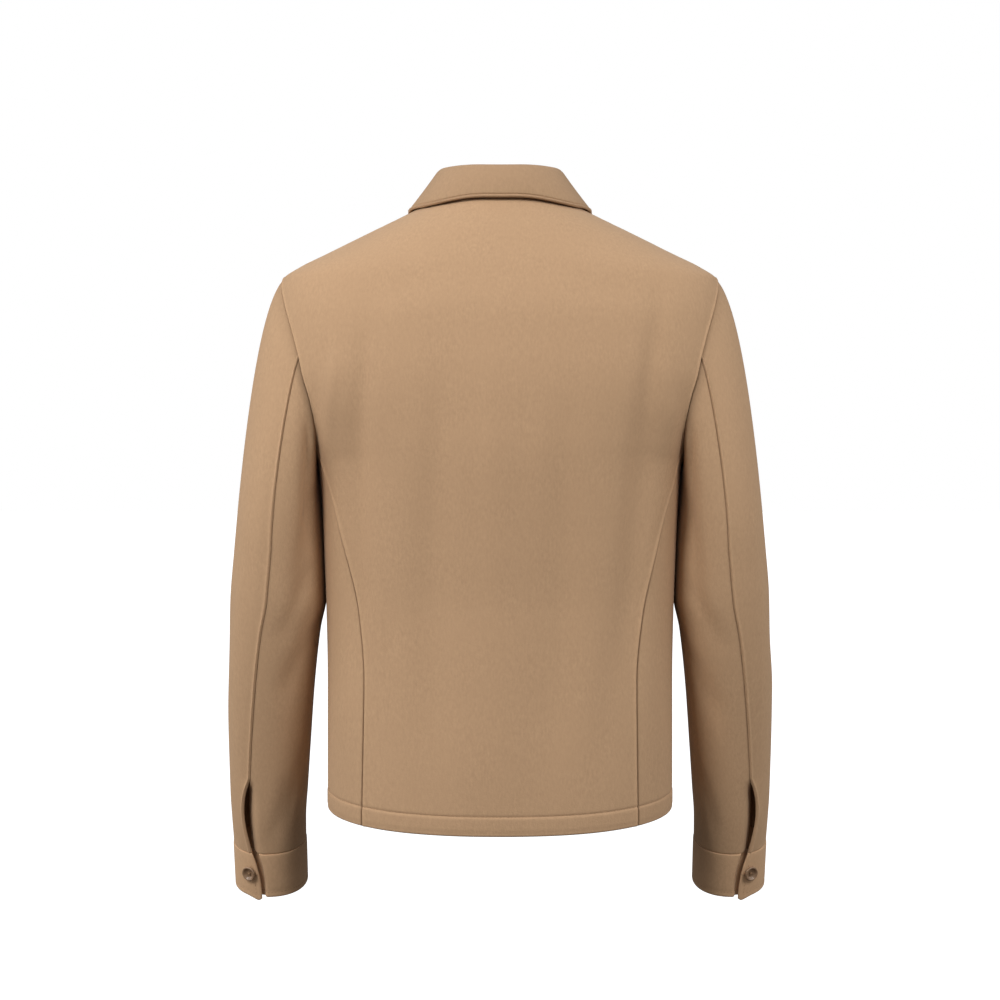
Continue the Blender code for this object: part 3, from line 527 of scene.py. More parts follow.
def tubes(name, lines, normals, radius):
    """Many short threads as one piece. Each is a line of points with the cloth's normals along it."""
    along = np.gradient(lines, axis=1)
    along /= np.linalg.norm(along, axis=2, keepdims=True)
    side = np.cross(along, normals)
    side /= np.linalg.norm(side, axis=2, keepdims=True)
    over = np.cross(side, along)
    turn = np.arange(THREAD_SIDES) * 2 * math.pi / THREAD_SIDES
    rings = np.cos(turn)[:, None] * over[:, :, None] + np.sin(turn)[:, None] * side[:, :, None]
    points = lines[:, :, None] + radius * rings
    index = np.arange(points[..., 0].size).reshape(points.shape[:3])
    after = np.roll(index, -1, axis=2)
    quads = np.stack([index[:, :-1], after[:, :-1], after[:, 1:], index[:, 1:]], axis=-1).reshape(-1, 4)
    ends = np.concatenate([index[:, 0, ::-1], index[:, -1]])
    mesh = bpy.data.meshes.new(name)
    mesh.from_pydata(points.reshape(-1, 3).tolist(), [], quads.tolist() + ends.tolist())
    mesh.shade_smooth()
    mesh.materials.append(thread)
    piece = bpy.data.objects.new(name, mesh)
    bpy.context.scene.collection.objects.link(piece)
    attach(piece, "root")
    return piece


def sew(name, line, normals):
    """A row of stitches along a line on the cloth. Each dips into the cloth at both ends."""
    away = np.concatenate([[0], np.cumsum(np.linalg.norm(np.diff(line, axis=0), axis=1))])
    starts = np.arange(STITCH_SPACING, away[-1] - 2 * STITCH_SPACING, STITCH_SPACING)
    places = starts[:, None] + np.linspace(0, STITCH, len(STITCH_HEIGHTS))
    on_line = np.stack([np.interp(places, away, line[:, k]) for k in range(3)], axis=-1)
    facing = np.stack([np.interp(places, away, normals[:, k]) for k in range(3)], axis=-1)
    tubes(name, on_line + np.array(STITCH_HEIGHTS)[:, None] * facing, facing, THREAD)


def body_rows(armhole_degrees):
    """Places up the side seam and round the armhole, and their shares of the panel's height."""
    start = hem_height(side_seam(np.array(HEM_SIDE))[0])
    rise = armhole(ARMHOLE_SIDE_SEAM)[1] - start
    seam_steps = steps(rise, HEM_STEPS, RIM_STEPS[:1])
    hole_steps = steps(ARMHOLE_LENGTH, RIM_STEPS[:1], RIM_STEPS)[1:]
    first, last = armhole_degrees
    run = np.concatenate([side_seam(start + seam_steps * rise), armhole(first + hole_steps * (last - first))])
    share = np.concatenate([seam_steps * rise, rise + hole_steps * ARMHOLE_LENGTH])
    return run, share / share[-1]


def centre_rows(place_at, foot, top, share):
    """Places up a line at the middle, with the hem's steps at their real distance."""
    rise = HEM_STEPS[-1]
    last = len(HEM_STEPS) - 1
    even = (share[last:] - share[last]) / (1 - share[last])
    heights = np.concatenate([foot + HEM_STEPS, foot + rise + even[1:] * (top - foot - rise)])
    return place_at(heights)


def panel_top(neck_end, neck_share):
    """Places along the shoulder seam and the neck, and the shares of the panel's width at which they lie."""
    shoulder = steps(SHOULDER_LENGTH, RIM_STEPS, RIM_STEPS[:1])
    round_neck = steps(NECK_LENGTH, RIM_STEPS[:1], RIM_STEPS[:1])[1:]
    neck_run = neck(NECK_POINT + round_neck * (neck_end - NECK_POINT))
    share = np.concatenate([shoulder * (1 - neck_share), 1 - neck_share + round_neck * neck_share])
    return np.concatenate([shoulder_seam(shoulder), neck_run]), share


HEM_ROUND = 0.0018
HEM_STEP = 0.0012  # width over which the turned-up layer ends
HEM_GROOVE = (0.0011, 0.0007)  # half width and depth
HEM_PUFF = (0.004, 0.018, 0.0004)  # start, end and height of the doubled cloth's bulge


def finish_hem(away):
    """The hem's thickness, its drop at its foot and in the stitching, and how its inside is rounded."""
    thickness = CLOTH + (HEM_CLOTH - CLOTH) * (1 - smooth_step((away - HEM_DEPTH) / HEM_STEP))
    drop = rim(away, HEM_ROUND) + groove(away, HEM_DEPTH, *HEM_GROOVE) - ridge(away, *HEM_PUFF)
    return thickness, drop, rim(away, HEM_ROUND)


top_run, top_share = panel_top(90, BACK_NECK_SHARE)
side_run, up_share = body_rows((ARMHOLE_SIDE_SEAM, ARMHOLE_SHOULDER_SEAM))
foot_angles = side_run[0, 0] + top_share * (math.pi / 2 - side_run[0, 0])
foot_run = np.stack([foot_angles, hem_height(foot_angles)], axis=-1)
centre_run = centre_rows(
    lambda height: np.stack([np.full(height.shape, math.pi / 2), height], axis=-1),
    foot_run[-1, 1],
    top_run[-1, 1],
    up_share,
)
half = patch(foot_run, top_run, side_run, centre_run, top_share, up_share)
other_half = half[:, -2::-1] * (-1, 1) + (math.pi, 0)
places = np.concatenate([half, other_half], axis=1)
angles, heights = places[..., 0], places[..., 1]
points = body_point(angles, heights)
normals = across(plain_body_point, angles, heights)
from_seam = np.minimum(distance_in(points, "first_column"), distance_in(points, "last_column"))
from_top = distance_in(points, "last_row")
from_hem = distance_in(points, "first_row")
thickness, hem_drop, hem_round = finish_hem(from_hem)
drop = rim(from_seam, DEEP_ROLL) + rim(from_top, SEAM_ROLL) - ridge(from_seam, *SIDE_RIDGE) + hem_drop
# painted shade in the side-back seams and a painted highlight beside them
painted_light = painted_seam_light(from_seam, SIDE_DARK, SIDE_LIGHT)
back_panel = wall("back_panel", points, normals, thickness, drop, hem_round, body_wool, painted_light)
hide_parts("back")
hem_row = int(np.flatnonzero(HEM_STEPS == HEM_DEPTH)[0])
shown = points - drop[..., None] * normals
sew("back_hem_stitches", shown[hem_row], normals[hem_row])

EDGE_STITCHES = 6  # the stitches run at this one of the rim steps
EDGE_GROOVE = (0.0008, 0.0004)  # half width and depth
lap_sides = np.array([0.034, 0.030, 0.026, 0.022, 0.0185, 0.012, 0.006, 0.0, -0.006, -0.010])
lap_sides = np.concatenate([lap_sides, -FRONT_LAP + RIM_STEPS[:-1][::-1]])


def lap_places(x, height):
    """Places on the front closure at a distance x from the middle, at the given heights."""
    side = signed_power(x / BODY["half_width"](height), BODY["squareness"](height) / 2)
    return np.stack([-np.arccos(side), height], axis=-1)


def lap_run(x, up_share):
    """Places up the closure from the hem to the neck seam."""
    foot = hem_height(lap_places(x, np.array(HEM_SIDE - HEM_DROP_FRONT))[0])
    top = body_height(x, -NECK_FRONT * math.sqrt(1 - (x / NECK_HALF_WIDTH) ** 2))
    return centre_rows(lambda height: lap_places(x, height), foot, top, up_share)


def make_front(name, mirror, node):
    """A front, from the side-back seam round the side to its turned edge past the middle."""
    neck_end = -math.degrees(math.acos(lap_sides[0] / NECK_HALF_WIDTH))
    top_run, top_share = panel_top(neck_end, FRONT_NECK_SHARE)
    side_run, up_share = body_rows((ARMHOLE_SIDE_SEAM, 360 + ARMHOLE_SHOULDER_SEAM))
    edge_run = lap_run(lap_sides[0], up_share)
    foot_angles = side_run[0, 0] + top_share * (edge_run[0, 0] - side_run[0, 0])
    foot_run = np.stack([foot_angles, hem_height(foot_angles)], axis=-1)
    places = patch(foot_run, top_run, side_run, edge_run, top_share, up_share)
    lap = np.stack([lap_run(x, up_share) for x in lap_sides[1:]], axis=1)
    places = np.concatenate([places, lap], axis=1)
    angles, heights = places[..., 0], places[..., 1]
    worn_angles = angles if mirror > 0 else math.pi - angles
    points = body_point(worn_angles, heights) * (mirror, 1, 1)
    normals = across(plain_body_point, angles, heights)
    if mirror > 0:
        points += (LAP_RISE * smooth_step((lap_sides[0] - points[..., 0]) / LAP_RAMP))[..., None] * normals
    from_seam = distance_in(points, "first_column")
    from_edge = distance_in(points, "last_column")
    from_top = distance_in(points, "last_row")
    from_hem = distance_in(points, "first_row")
    thickness, hem_drop, hem_round = finish_hem(from_hem)
    drop = rim(from_seam, DEEP_ROLL) + rim(from_top, SEAM_ROLL) + hem_drop + rim(from_edge, SEAM_ROLL)
    drop += groove(from_edge, RIM_STEPS[EDGE_STITCHES], *EDGE_GROOVE)
    # painted shade in the side-back seam
    painted_light = painted_seam_light(from_seam, SIDE_DARK, 0.0)
    points, normals = points * (mirror, 1, 1), normals * (mirror, 1, 1)
    piece = wall(name, points, normals, thickness, drop, hem_round, body_wool, painted_light)
    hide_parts(node)
    shown = points - drop[..., None] * normals
    sew(node + "_hem_stitches", shown[hem_row], normals[hem_row])
    edge = -1 - EDGE_STITCHES
    sew(node + "_edge_stitches", shown[:, edge], normals[:, edge])


make_front("front_left_panel", 1, "front_left")
make_front("front_right_panel", -1, "front_right")


# Sleeves: each is a top and an under sleeve, sewn at the front and at the elbow, set into the armhole.
# The elbow seam ends in a vent above the cuff, whose outer edge bows away from the sunken under one.
SLEEVE_COLUMNS = ("height", "outer", "inner", "middle", "half_depth", "tilt", "elbow_seam", "front_seam")
SLEEVE_ROWS = (
    (-0.360, 0.2808, 0.1862, -0.002, 0.0640, 2.0, 2.0, 228.0),
    (-0.412, 0.2860, 0.1842, -0.008, 0.0610, 5.0, 6.0, 228.0),
    (-0.450, 0.2884, 0.1915, -0.015, 0.0585, 7.0, 9.5, 228.0),
    (-0.509, 0.2914, 0.1988, -0.028, 0.0550, 10.0, 13.5, 227.0),
    (-0.5715, 0.2920, 0.2042, -0.042, 0.0505, 13.0, 18.5, 226.0),
    (-0.623, 0.2918, 0.2084, -0.0535, 0.0470, 15.0, 21.5, 225.0),
    (-0.656, 0.2906, 0.2110, -0.0605, 0.0445, 16.0, 22.5, 225.0),
    (-0.6795, 0.2895, 0.2113, -0.066, 0.0430, 16.0, 22.5, 225.0),
    (-0.7275, 0.2885, 0.2110, -0.077, 0.0420, 16.0, 22.5, 225.0),
)
SLEEVE_SQUARENESS = 2.15
BICEP = SLEEVE_ROWS[0][0]
SLEEVE_END = -0.6795
CAP_ANGLE_TOP = 46
CAP_ANGLE_BOTTOM = 86
CAP_FLOW = 1.6
CAP_STAND_OFF = 0.0004
CAP_PULL_TOP = 0.117
CAP_PULL_BOTTOM = 0.045
CAP_NUDGE = 0.002
ARMHOLE_SINK = 0.0008  # the sleeve dips under the body's pressed edge
ARMHOLE_SINK_REACH = 0.007
ARMHOLE_SINK_TOP = -0.10
ARMHOLE_SINK_FADE = 0.06
# How much a painted soft shade darkens the sleeve where it meets the body
ARMHOLE_DARK = {"sleeve_top_": 0.12, "sleeve_under_": 0.34}
CREASE_START = 0.035  # creases reach their depth this far below the armhole
CAP_ROLL = 0.0015
CAP_LENGTH = 0.20
TOP_WIDTH = 0.22
TOP_KNEE = 7 / 15  # the share of its width at which the top sleeve meets the shoulder seam
UNDER_WIDTH = 0.15
UNDER_KNEE = 6 / 11  # the same for the under sleeve and the side-back seam
# Painted highlight on the ridge beside the elbow seam and painted shade in the seam
ELBOW_LIGHT = 0.14
ELBOW_DARK = 0.20
ELBOW_RIDGE_PLACE = (0.0008, 0.0022)
VENT_TOP = -0.598
VENT_BOW = 10.0
VENT_BOW_WIDTH = 22.0
VENT_CURL = 0.0012
VENT_UNDERLAP = 13.0
VENT_UNDERLAP_WIDTH = (9.0, 15.0)  # at its top and at the cuff
VENT_OPENING = 0.22  # the share of the vent's height over which the underlap sinks in
VENT_SINK = 0.0105
VENT_LEVEL = 0.3  # the share of that width over which it lies fully sunk
SLEEVE_TUCK = 0.0010  # the foot goes this far into the cuff
ELBOW_RIDGE = 0.0013

# Creases of each sleeve: degrees round the arm (0 at the back, 90 at the outer side) and height of both
# ends, then bow, half width and depth in metres
SLEEVE_CREASES = {
    "left": (
        (-24, -0.210, -54, -0.350, 0.0, 0.012, 0.0066),
        (-60, -0.300, -30, -0.420, 0.004, 0.012, 0.0030),
        (-50, -0.380, -12, -0.460, 0.003, 0.010, 0.0018),
        (-70, -0.440, -20, -0.520, 0.004, 0.012, 0.0022),
        (-66, -0.560, -34, -0.660, 0.003, 0.008, 0.0022),
        (-30, -0.610, -8, -0.680, -0.003, 0.010, 0.0016),
        (60, -0.400, 80, -0.520, 0.004, 0.014, 0.0014),
        (150, -0.380, 190, -0.450, 0.004, 0.012, 0.0028),
        (140, -0.430, 200, -0.480, -0.003, 0.011, 0.0024),
        (150, -0.520, 190, -0.600, 0.003, 0.012, 0.0018),
    ),
    "right": (
        (-26, -0.210, -56, -0.350, 0.0, 0.012, 0.0062),
        (-58, -0.310, -34, -0.440, 0.004, 0.012, 0.0030),
        (-46, -0.400, -10, -0.470, 0.003, 0.011, 0.0016),
        (-72, -0.460, -24, -0.540, 0.004, 0.012, 0.0024),
        (-60, -0.590, -30, -0.670, 0.003, 0.009, 0.0018),
        (58, -0.380, 84, -0.490, 0.004, 0.014, 0.0014),
        (146, -0.370, 196, -0.440, 0.004, 0.013, 0.0028),
        (152, -0.440, 200, -0.500, -0.003, 0.011, 0.0022),
        (140, -0.540, 180, -0.610, 0.003, 0.012, 0.0018),
    ),
}
DEGREE = 0.00085  # metres round the arm for each degree
SLEEVE = table(SLEEVE_COLUMNS, SLEEVE_ROWS)
sleeve_wool = wool("sleeve_wool", 1.0)


def sleeve_ring_point(degrees, height, sink=0.0):
    """Points of the sleeve form. The angle runs from the back of the ring towards its outer side."""
    outer, inner = SLEEVE["outer"](height), SLEEVE["inner"](height)
    turn = np.radians(degrees)
    power = 2 / SLEEVE_SQUARENESS
    side = ((outer - inner) / 2 - sink) * signed_power(np.sin(turn), power)
    depth = (SLEEVE["half_depth"](height) - sink) * signed_power(np.cos(turn), power)
    lean = np.tan(np.radians(SLEEVE["tilt"](height)))
    x, y = (outer + inner) / 2 + side, SLEEVE["middle"](height) + depth
    return np.stack(np.broadcast_arrays(x, y, height - lean * depth), axis=-1)


def sleeve_cap(places, degrees):
    """Points of a sleeve from the bicep up to the armhole, one column for each place on the armhole."""
    start = body_point(places[:, 0], places[:, 1])
    share = np.clip((start[:, 2] - ARMHOLE_MIDDLE) / (2 * ARMHOLE_HALF_HEIGHT) + 0.5, 0, 1)
    normal = across(plain_body_point, places[:, 0], places[:, 1])
    start = start + (CAP_STAND_OFF * (1 - share))[:, None] * normal
    leave = np.radians(CAP_ANGLE_BOTTOM + (CAP_ANGLE_TOP - CAP_ANGLE_BOTTOM) * share**CAP_FLOW)
    pull = CAP_PULL_BOTTOM + (CAP_PULL_TOP - CAP_PULL_BOTTOM) * share
    start_pull = pull[:, None] * np.stack([np.cos(leave), 0 * leave, -np.sin(leave)], axis=-1)
    end = sleeve_ring_point(degrees, BICEP)
    below = sleeve_ring_point(degrees, BICEP - CAP_NUDGE)
    reach = np.linalg.norm(end - start, axis=-1, keepdims=True)
    end_pull = (below - end) / np.linalg.norm(end - below, axis=-1, keepdims=True) * reach
    t = steps(CAP_LENGTH, RIM_STEPS, RIM_STEPS[:1])[:, None, None]
    line = (1 + 2 * t) * (1 - t) ** 2 * start + t * (1 - t) ** 2 * start_pull
    return (line + t * t * (3 - 2 * t) * end + t * t * (t - 1) * end_pull)[::-1]


def vent_opening(height):
    """How far down the vent a height is, from 0 at its top to 1 at the cuff."""
    return np.clip((VENT_TOP - height) / (VENT_TOP - SLEEVE_END), 0, 1)


def over_vent(from_elbow, height):
    """The top sleeve's edge bows away from the seam and stands off a little."""
    bow = np.exp(-((from_elbow / VENT_BOW_WIDTH) ** 2)) * np.sin(math.pi * vent_opening(height) ** 0.8)
    return VENT_BOW * bow, -VENT_CURL * bow


def sunk(from_elbow, width):
    """How much of its full depth a sunken edge has, by the degrees from the elbow seam."""
    return smooth_step((1 - from_elbow / width) / (1 - VENT_LEVEL))


def under_vent(from_elbow, height):
    """The under sleeve's edge sinks in and runs on below the top sleeve."""
    down = smooth_step(vent_opening(height) / VENT_OPENING)
    near = sunk(from_elbow, np.interp(vent_opening(height), (0, 1), VENT_UNDERLAP_WIDTH))
    return VENT_UNDERLAP * down * near, VENT_SINK * down * near


def sleeve_grid(places, share, first_seam, last_seam, whole_turn, vent, creases):
    """Points of a sleeve panel, rows up the arm and columns round it between two seams."""
    foot = SLEEVE_END - SLEEVE_TUCK
    length = BICEP - foot
    rows = foot + steps(length, RIM_STEPS, RIM_STEPS[:1])[:-1] * length
    starts, ends = SLEEVE[first_seam](rows), SLEEVE[last_seam](rows) + whole_turn
    degrees = starts[:, None] + (ends - starts)[:, None] * share
    turn = abs(degrees - SLEEVE["elbow_seam"](rows)[:, None])
    shift, sink = vent(np.minimum(turn, abs(turn - 360)), rows[:, None])
    arm = sleeve_ring_point(degrees + shift, rows[:, None], sink)
    start, end = SLEEVE[first_seam](BICEP), SLEEVE[last_seam](BICEP) + whole_turn
    cap = sleeve_cap(places, start + (end - start) * share)
    points = np.concatenate([arm, cap])
    all_degrees = np.concatenate([degrees, np.broadcast_to(start + (end - start) * share, cap.shape[:2])])
    around = (all_degrees + 180) % 360 - 180
    rows_in_metres = [(row[0] * DEGREE, row[1], row[2] * DEGREE) + row[3:] for row in creases]
    depth = crease_depth(rows_in_metres, around * DEGREE, points[..., 2])
    depth += crease_depth(rows_in_metres, (around % 360) * DEGREE, points[..., 2]) * (around < 0)
    return points, depth


def ring_normals(top_points, under_points):
    """Outward normals of the two sleeve panels, taken over their shared seams."""
    ring = np.concatenate([top_points, under_points[:, 1:-1]], axis=1)
    around = np.roll(ring, -1, axis=1) - np.roll(ring, 1, axis=1)
    normals = np.cross(np.gradient(ring, axis=0), around)
    normals /= np.linalg.norm(normals, axis=2)[:, :, None]
    count = top_points.shape[1]
    return normals[:, :count], np.concatenate([normals[:, count - 1 :], normals[:, :1]], axis=1)


def no_vent(from_elbow, height):
    return 0.0 * from_elbow, 0.0 * from_elbow


def round_armhole(share, knee, start, middle, end):
    """Places on the armhole at shares of a panel's width, which pass the middle angle at the share `knee`."""
    first = start + (middle - start) * share / knee
    second = middle + (end - middle) * (share - knee) / (1 - knee)
    return armhole(np.where(share < knee, first, second))


def make_sleeve(side, mirror):
    """The top and the under sleeve of one arm."""
    top_turns = (ARMHOLE_ELBOW_SEAM, ARMHOLE_SHOULDER_SEAM, ARMHOLE_FRONT_SEAM)
    under_turns = (360 + ARMHOLE_FRONT_SEAM, ARMHOLE_SIDE_SEAM, ARMHOLE_ELBOW_SEAM)
    top_share, under_share = steps(TOP_WIDTH), steps(UNDER_WIDTH)
    top_places = round_armhole(top_share, TOP_KNEE, *top_turns)
    under_places = round_armhole(under_share, UNDER_KNEE, *under_turns)
    creases = SLEEVE_CREASES[side]
    top_run = (top_places, top_share, "elbow_seam", "front_seam", 0)
    under_run = (under_places, under_share, "front_seam", "elbow_seam", 360)
    closed = (sleeve_grid(*run, no_vent, creases)[0] for run in (top_run, under_run))
    top_normals, under_normals = ring_normals(*closed)
    panels = (
        ("sleeve_top_", top_run, over_vent, top_normals, "first_column", ELBOW_RIDGE),
        ("sleeve_under_", under_run, under_vent, under_normals, "last_column", 0.0),
    )
    for name, run, vent, normals, elbow, elbow_ridge in panels:
        points, depth = sleeve_grid(*run, vent, creases)
        depth *= smooth_step(distance_in(points, "last_row") / CREASE_START)
        low = smooth_step((ARMHOLE_SINK_TOP - points[..., 2]) / ARMHOLE_SINK_FADE)
        depth += low * groove(distance_in(points, "last_row"), 0.0, ARMHOLE_SINK_REACH, ARMHOLE_SINK)
        points = points - depth[..., None] * normals
        from_elbow = distance_in(points, elbow)
        from_front = distance_in(points, "last_column" if elbow == "first_column" else "first_column")
        from_top = distance_in(points, "last_row")
        drop = rim(from_elbow, SEAM_ROLL) + rim(from_front, SEAM_ROLL) + rim(from_top, CAP_ROLL)
        drop += rim(distance_in(points, "first_row"), 3 * SLEEVE_TUCK)
        drop -= ridge(from_elbow, *ELBOW_RIDGE_PLACE, elbow_ridge)
        thickness = np.full(points.shape[:2], CLOTH)
        # painted shade in the elbow seam, a painted highlight beside it on the top sleeve, and painted shade
        # below the arm
        painted_light = painted_seam_light(from_elbow, ELBOW_DARK, ELBOW_LIGHT if elbow_ridge else 0.0)
        painted_light -= groove(from_top, 0.0, 2 * ARMHOLE_SINK_REACH, ARMHOLE_DARK[name])
        points, normals = points * (mirror, 1, 1), normals * (mirror, 1, 1)
        title = name + side + "_panel"
        piece = wall(title, points, normals, thickness, drop, 0 * drop, sleeve_wool, painted_light)
        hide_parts(name + side)


make_sleeve("left", 1)
make_sleeve("right", -1)


# Cuffs: a doubled band of the same wool, sewn round the foot of the sleeve. It starts below its own end,
# which is cut to a blunt point, stitched round its edge and buttoned over the beginning.
CUFF_CLOTH = 0.003
CUFF_END = -0.7275
CUFF_PROUD = 0.0007
CUFF_UNDER_END = 50.0
CUFF_OVER_END_TOP = 22.0
CUFF_OVER_END_FOOT = 8.0
CUFF_SINK = (0.0098, 0.0052)  # at the band's top and at its foot
CUFF_SINK_WIDTH = (13.0, 7.0)  # degrees past the end on top, at the band's top and at its foot
CUFF_SLOT = (0.06, 0.15)  # the shares of the band's length between which it comes out from below its end
CUFF_SLOT_COLUMNS = 24
CUFF_AROUND = 0.27
CUFF_END_CURVE = 2.4
CUFF_ROUND = 0.0015
CUFF_TOP_ROUND = 0.0005
CUFF_TOP_REACH = 0.002  # the band's top edge sinks towards the sleeve from here
CUFF_STITCHES = 6  # the stitches run at this one of the rim steps
CUFF_TIP = (0.0048, 16.0)  # how far the end's lower corner hangs below the band, over which degrees
CUFF_CORNER = (0.0028, 3.5)  # how far that corner is cut back, over which degrees
# Painted light: the cuffs' colour is made lighter to stand in for more light on the low sleeves
cuff_wool = wool("cuff_wool", 1.16)


def smooth_normals(points):
    normals = np.cross(np.gradient(points, axis=0), np.gradient(points, axis=1))
    return normals / np.linalg.norm(normals, axis=2)[:, :, None]


def make_cuff(side, mirror):
    """The cuff, from its under end round the inner side, the front and the outer side to the end on top."""
    length = SLEEVE_END - CUFF_END
    height_share = steps(length)
    around = np.unique(np.concatenate([steps(CUFF_AROUND), np.linspace(*CUFF_SLOT, CUFF_SLOT_COLUMNS)]))
    down = (1 - height_share)[:, None]
    curve = 1 - (1 - down) ** CUFF_END_CURVE
    over_end = CUFF_OVER_END_TOP + (CUFF_OVER_END_FOOT - CUFF_OVER_END_TOP) * curve - 360
    degrees = CUFF_UNDER_END + around[None, :] * (over_end - CUFF_UNDER_END)
    tip = CUFF_TIP[0] * down * np.exp(-(((degrees - over_end) / CUFF_TIP[1]) ** 2))
    tip -= CUFF_CORNER[0] * down**4 * np.exp(-(((degrees - over_end) / CUFF_CORNER[1]) ** 2))
    past_end = np.maximum(over_end + 360 - degrees, 0)
    sink = np.interp(down, (0, 1), CUFF_SINK) * sunk(past_end, np.interp(down, (0, 1), CUFF_SINK_WIDTH))
    points = sleeve_ring_point(degrees, CUFF_END + height_share[:, None] * length - tip, sink - CUFF_PROUD)
    normals = -smooth_normals(points)
    from_foot, from_top = distance_in(points, "first_row"), distance_in(points, "last_row")
    from_end = distance_in(points, "last_column")
    away = np.minimum(from_foot, from_end)
    stitching = groove(away, RIM_STEPS[CUFF_STITCHES], *EDGE_GROOVE)
    drop = rim(away, CUFF_ROUND) + rim(from_top, CUFF_TOP_ROUND) + stitching
    drop += CUFF_TOP_ROUND * np.exp(-from_top / CUFF_TOP_REACH)
    points, normals = points * (mirror, 1, 1), normals * (mirror, 1, 1)
    thickness, inside = np.full(points.shape[:2], CUFF_CLOTH), rim(away, CUFF_ROUND)
    title = "cuff_" + side + "_band"
    piece = wall(title, points, normals, thickness, drop, inside, cuff_wool)
    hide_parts("cuff_" + side)
    shown = points - drop[..., None] * normals
    row, column = CUFF_STITCHES, -1 - CUFF_STITCHES
    line = np.concatenate([shown[row, : column + 1], shown[row + 1 : column, column]])
    facing = np.concatenate([normals[row, : column + 1], normals[row + 1 : column, column]])
    sew("cuff_" + side + "_stitches", line, facing)


make_cuff("left", 1)
make_cuff("right", -1)


# Collar: a stand that rises from the neck seam, and a fall that turns over it with a round fold. The
# fall's outer edge is stitched 3.5 mm from the edge, which leaves a soft roll below the stitching.
COLLAR_CLOTH = 0.003
COLLAR_COLUMNS = ("angle", "fold_height", "edge_side", "edge_depth", "edge_lift")
COLLAR_ROWS = (
    (-30, 0.0368, -0.0480, 0.0575, 0.0077),
    (0, 0.0360, 0.0000, 0.0671, 0.0115),
    (30, 0.0368, 0.0480, 0.0575, 0.0077),
    (60, 0.0370, 0.0840, 0.0335, 0.0040),
    (88, 0.0346, 0.0980, -0.0030, 0.0040),
    (112, 0.0240, 0.0990, -0.0390, 0.0042),
    (136, 0.0030, 0.0910, -0.0710, 0.0065),
    (156, -0.0190, 0.0740, -0.0910, 0.0085),
    (170, -0.0340, 0.0560, -0.1020, 0.0095),
)
FOLD_HALF_WIDTH = 0.0634
FOLD_BACK = 0.0505
FOLD_FRONT = 0.0745
ROLL_RADIUS = 0.0055
ROLL_END = 35
STAND_TOP = 0.003
COLLAR_END = 170
COLLAR_LENGTH = 0.24  # from the middle of the back to its end
COLLAR_STITCHES = 0.0035
COLLAR_GROOVE = (0.0008, 0.0010)  # half width and depth
COLLAR_PUFF = 0.0005  # how far the edge swells outside the stitching
COLLAR_ROUND = 0.0018
COLLAR_INSIDE_ROUND = 0.0015
COLLAR_ROWS_DOWN = 20
ROLL_POINTS = 12
FALL_POINTS = 24
STAND_HEIGHT = 0.035
STAND_FOOT_ROUND = 0.0008
COLLAR = table(COLLAR_COLUMNS, COLLAR_ROWS)
COLLAR_STEPS = np.array([0, 0.3, 0.7, 1.3, 2.0, 2.6, 3.1, 3.5, 3.9, 4.3, 4.8, 5.6, 7.5, 10.5]) / 1000
collar_wool = wool("collar_wool", 0.85)


def fold_point(degrees):
    """The middle of the roll at the fold, and the level direction from the neck out through it."""
    turn = math.radians(90 - degrees)
    y = (FOLD_BACK if turn > 0 else FOLD_FRONT) * math.sin(turn)
    middle = np.array([FOLD_HALF_WIDTH * math.cos(turn), y, COLLAR["fold_height"](degrees) - ROLL_RADIUS])
    outward = np.array([middle[0], middle[1], 0.0])
    return middle, outward / np.linalg.norm(outward)


def fall_line(degrees):
    """Points of the fall's shown side, up from the stand, over the fold and down to the edge."""
    middle, outward = fold_point(degrees)
    up = np.array([0.0, 0.0, 1.0])
    line = [middle - ROLL_RADIUS * outward - STAND_TOP * up]
    for turn in np.radians(np.linspace(180, ROLL_END, ROLL_POINTS)):
        line.append(middle + ROLL_RADIUS * (math.cos(turn) * outward + math.sin(turn) * up))
    start = line[-1]
    side, depth = COLLAR["edge_side"](degrees), COLLAR["edge_depth"](degrees)
    edge = np.array([side, depth, body_height(side, depth) + COLLAR["edge_lift"](degrees)])
    last = math.radians(ROLL_END)
    reach = np.linalg.norm(edge - start) / 2
    bend = start + reach * (math.sin(last) * outward - math.cos(last) * up)
    for t in np.linspace(0, 1, FALL_POINTS)[1:]:
        line.append((1 - t) ** 2 * start + 2 * t * (1 - t) * bend + t * t * edge)
    line = np.array(line)
    along = np.concatenate([[0], np.cumsum(np.linalg.norm(np.diff(line, axis=0), axis=1))])
    length = along[-1]
    even = np.linspace(0, length - COLLAR_STEPS[-1], COLLAR_ROWS_DOWN)[:-1]
    places = np.concatenate([even, length - COLLAR_STEPS[::-1]])
    return np.stack([np.interp(places, along, line[:, k]) for k in range(3)], axis=-1)


def both_sides(half):
    """A grid whose first column is the middle of the back, with its mirror image before it."""
    half = half.copy()
    half[:, 0, 0] = 0
    return np.concatenate([half[:, :0:-1] * (-1, 1, 1), half], axis=1)


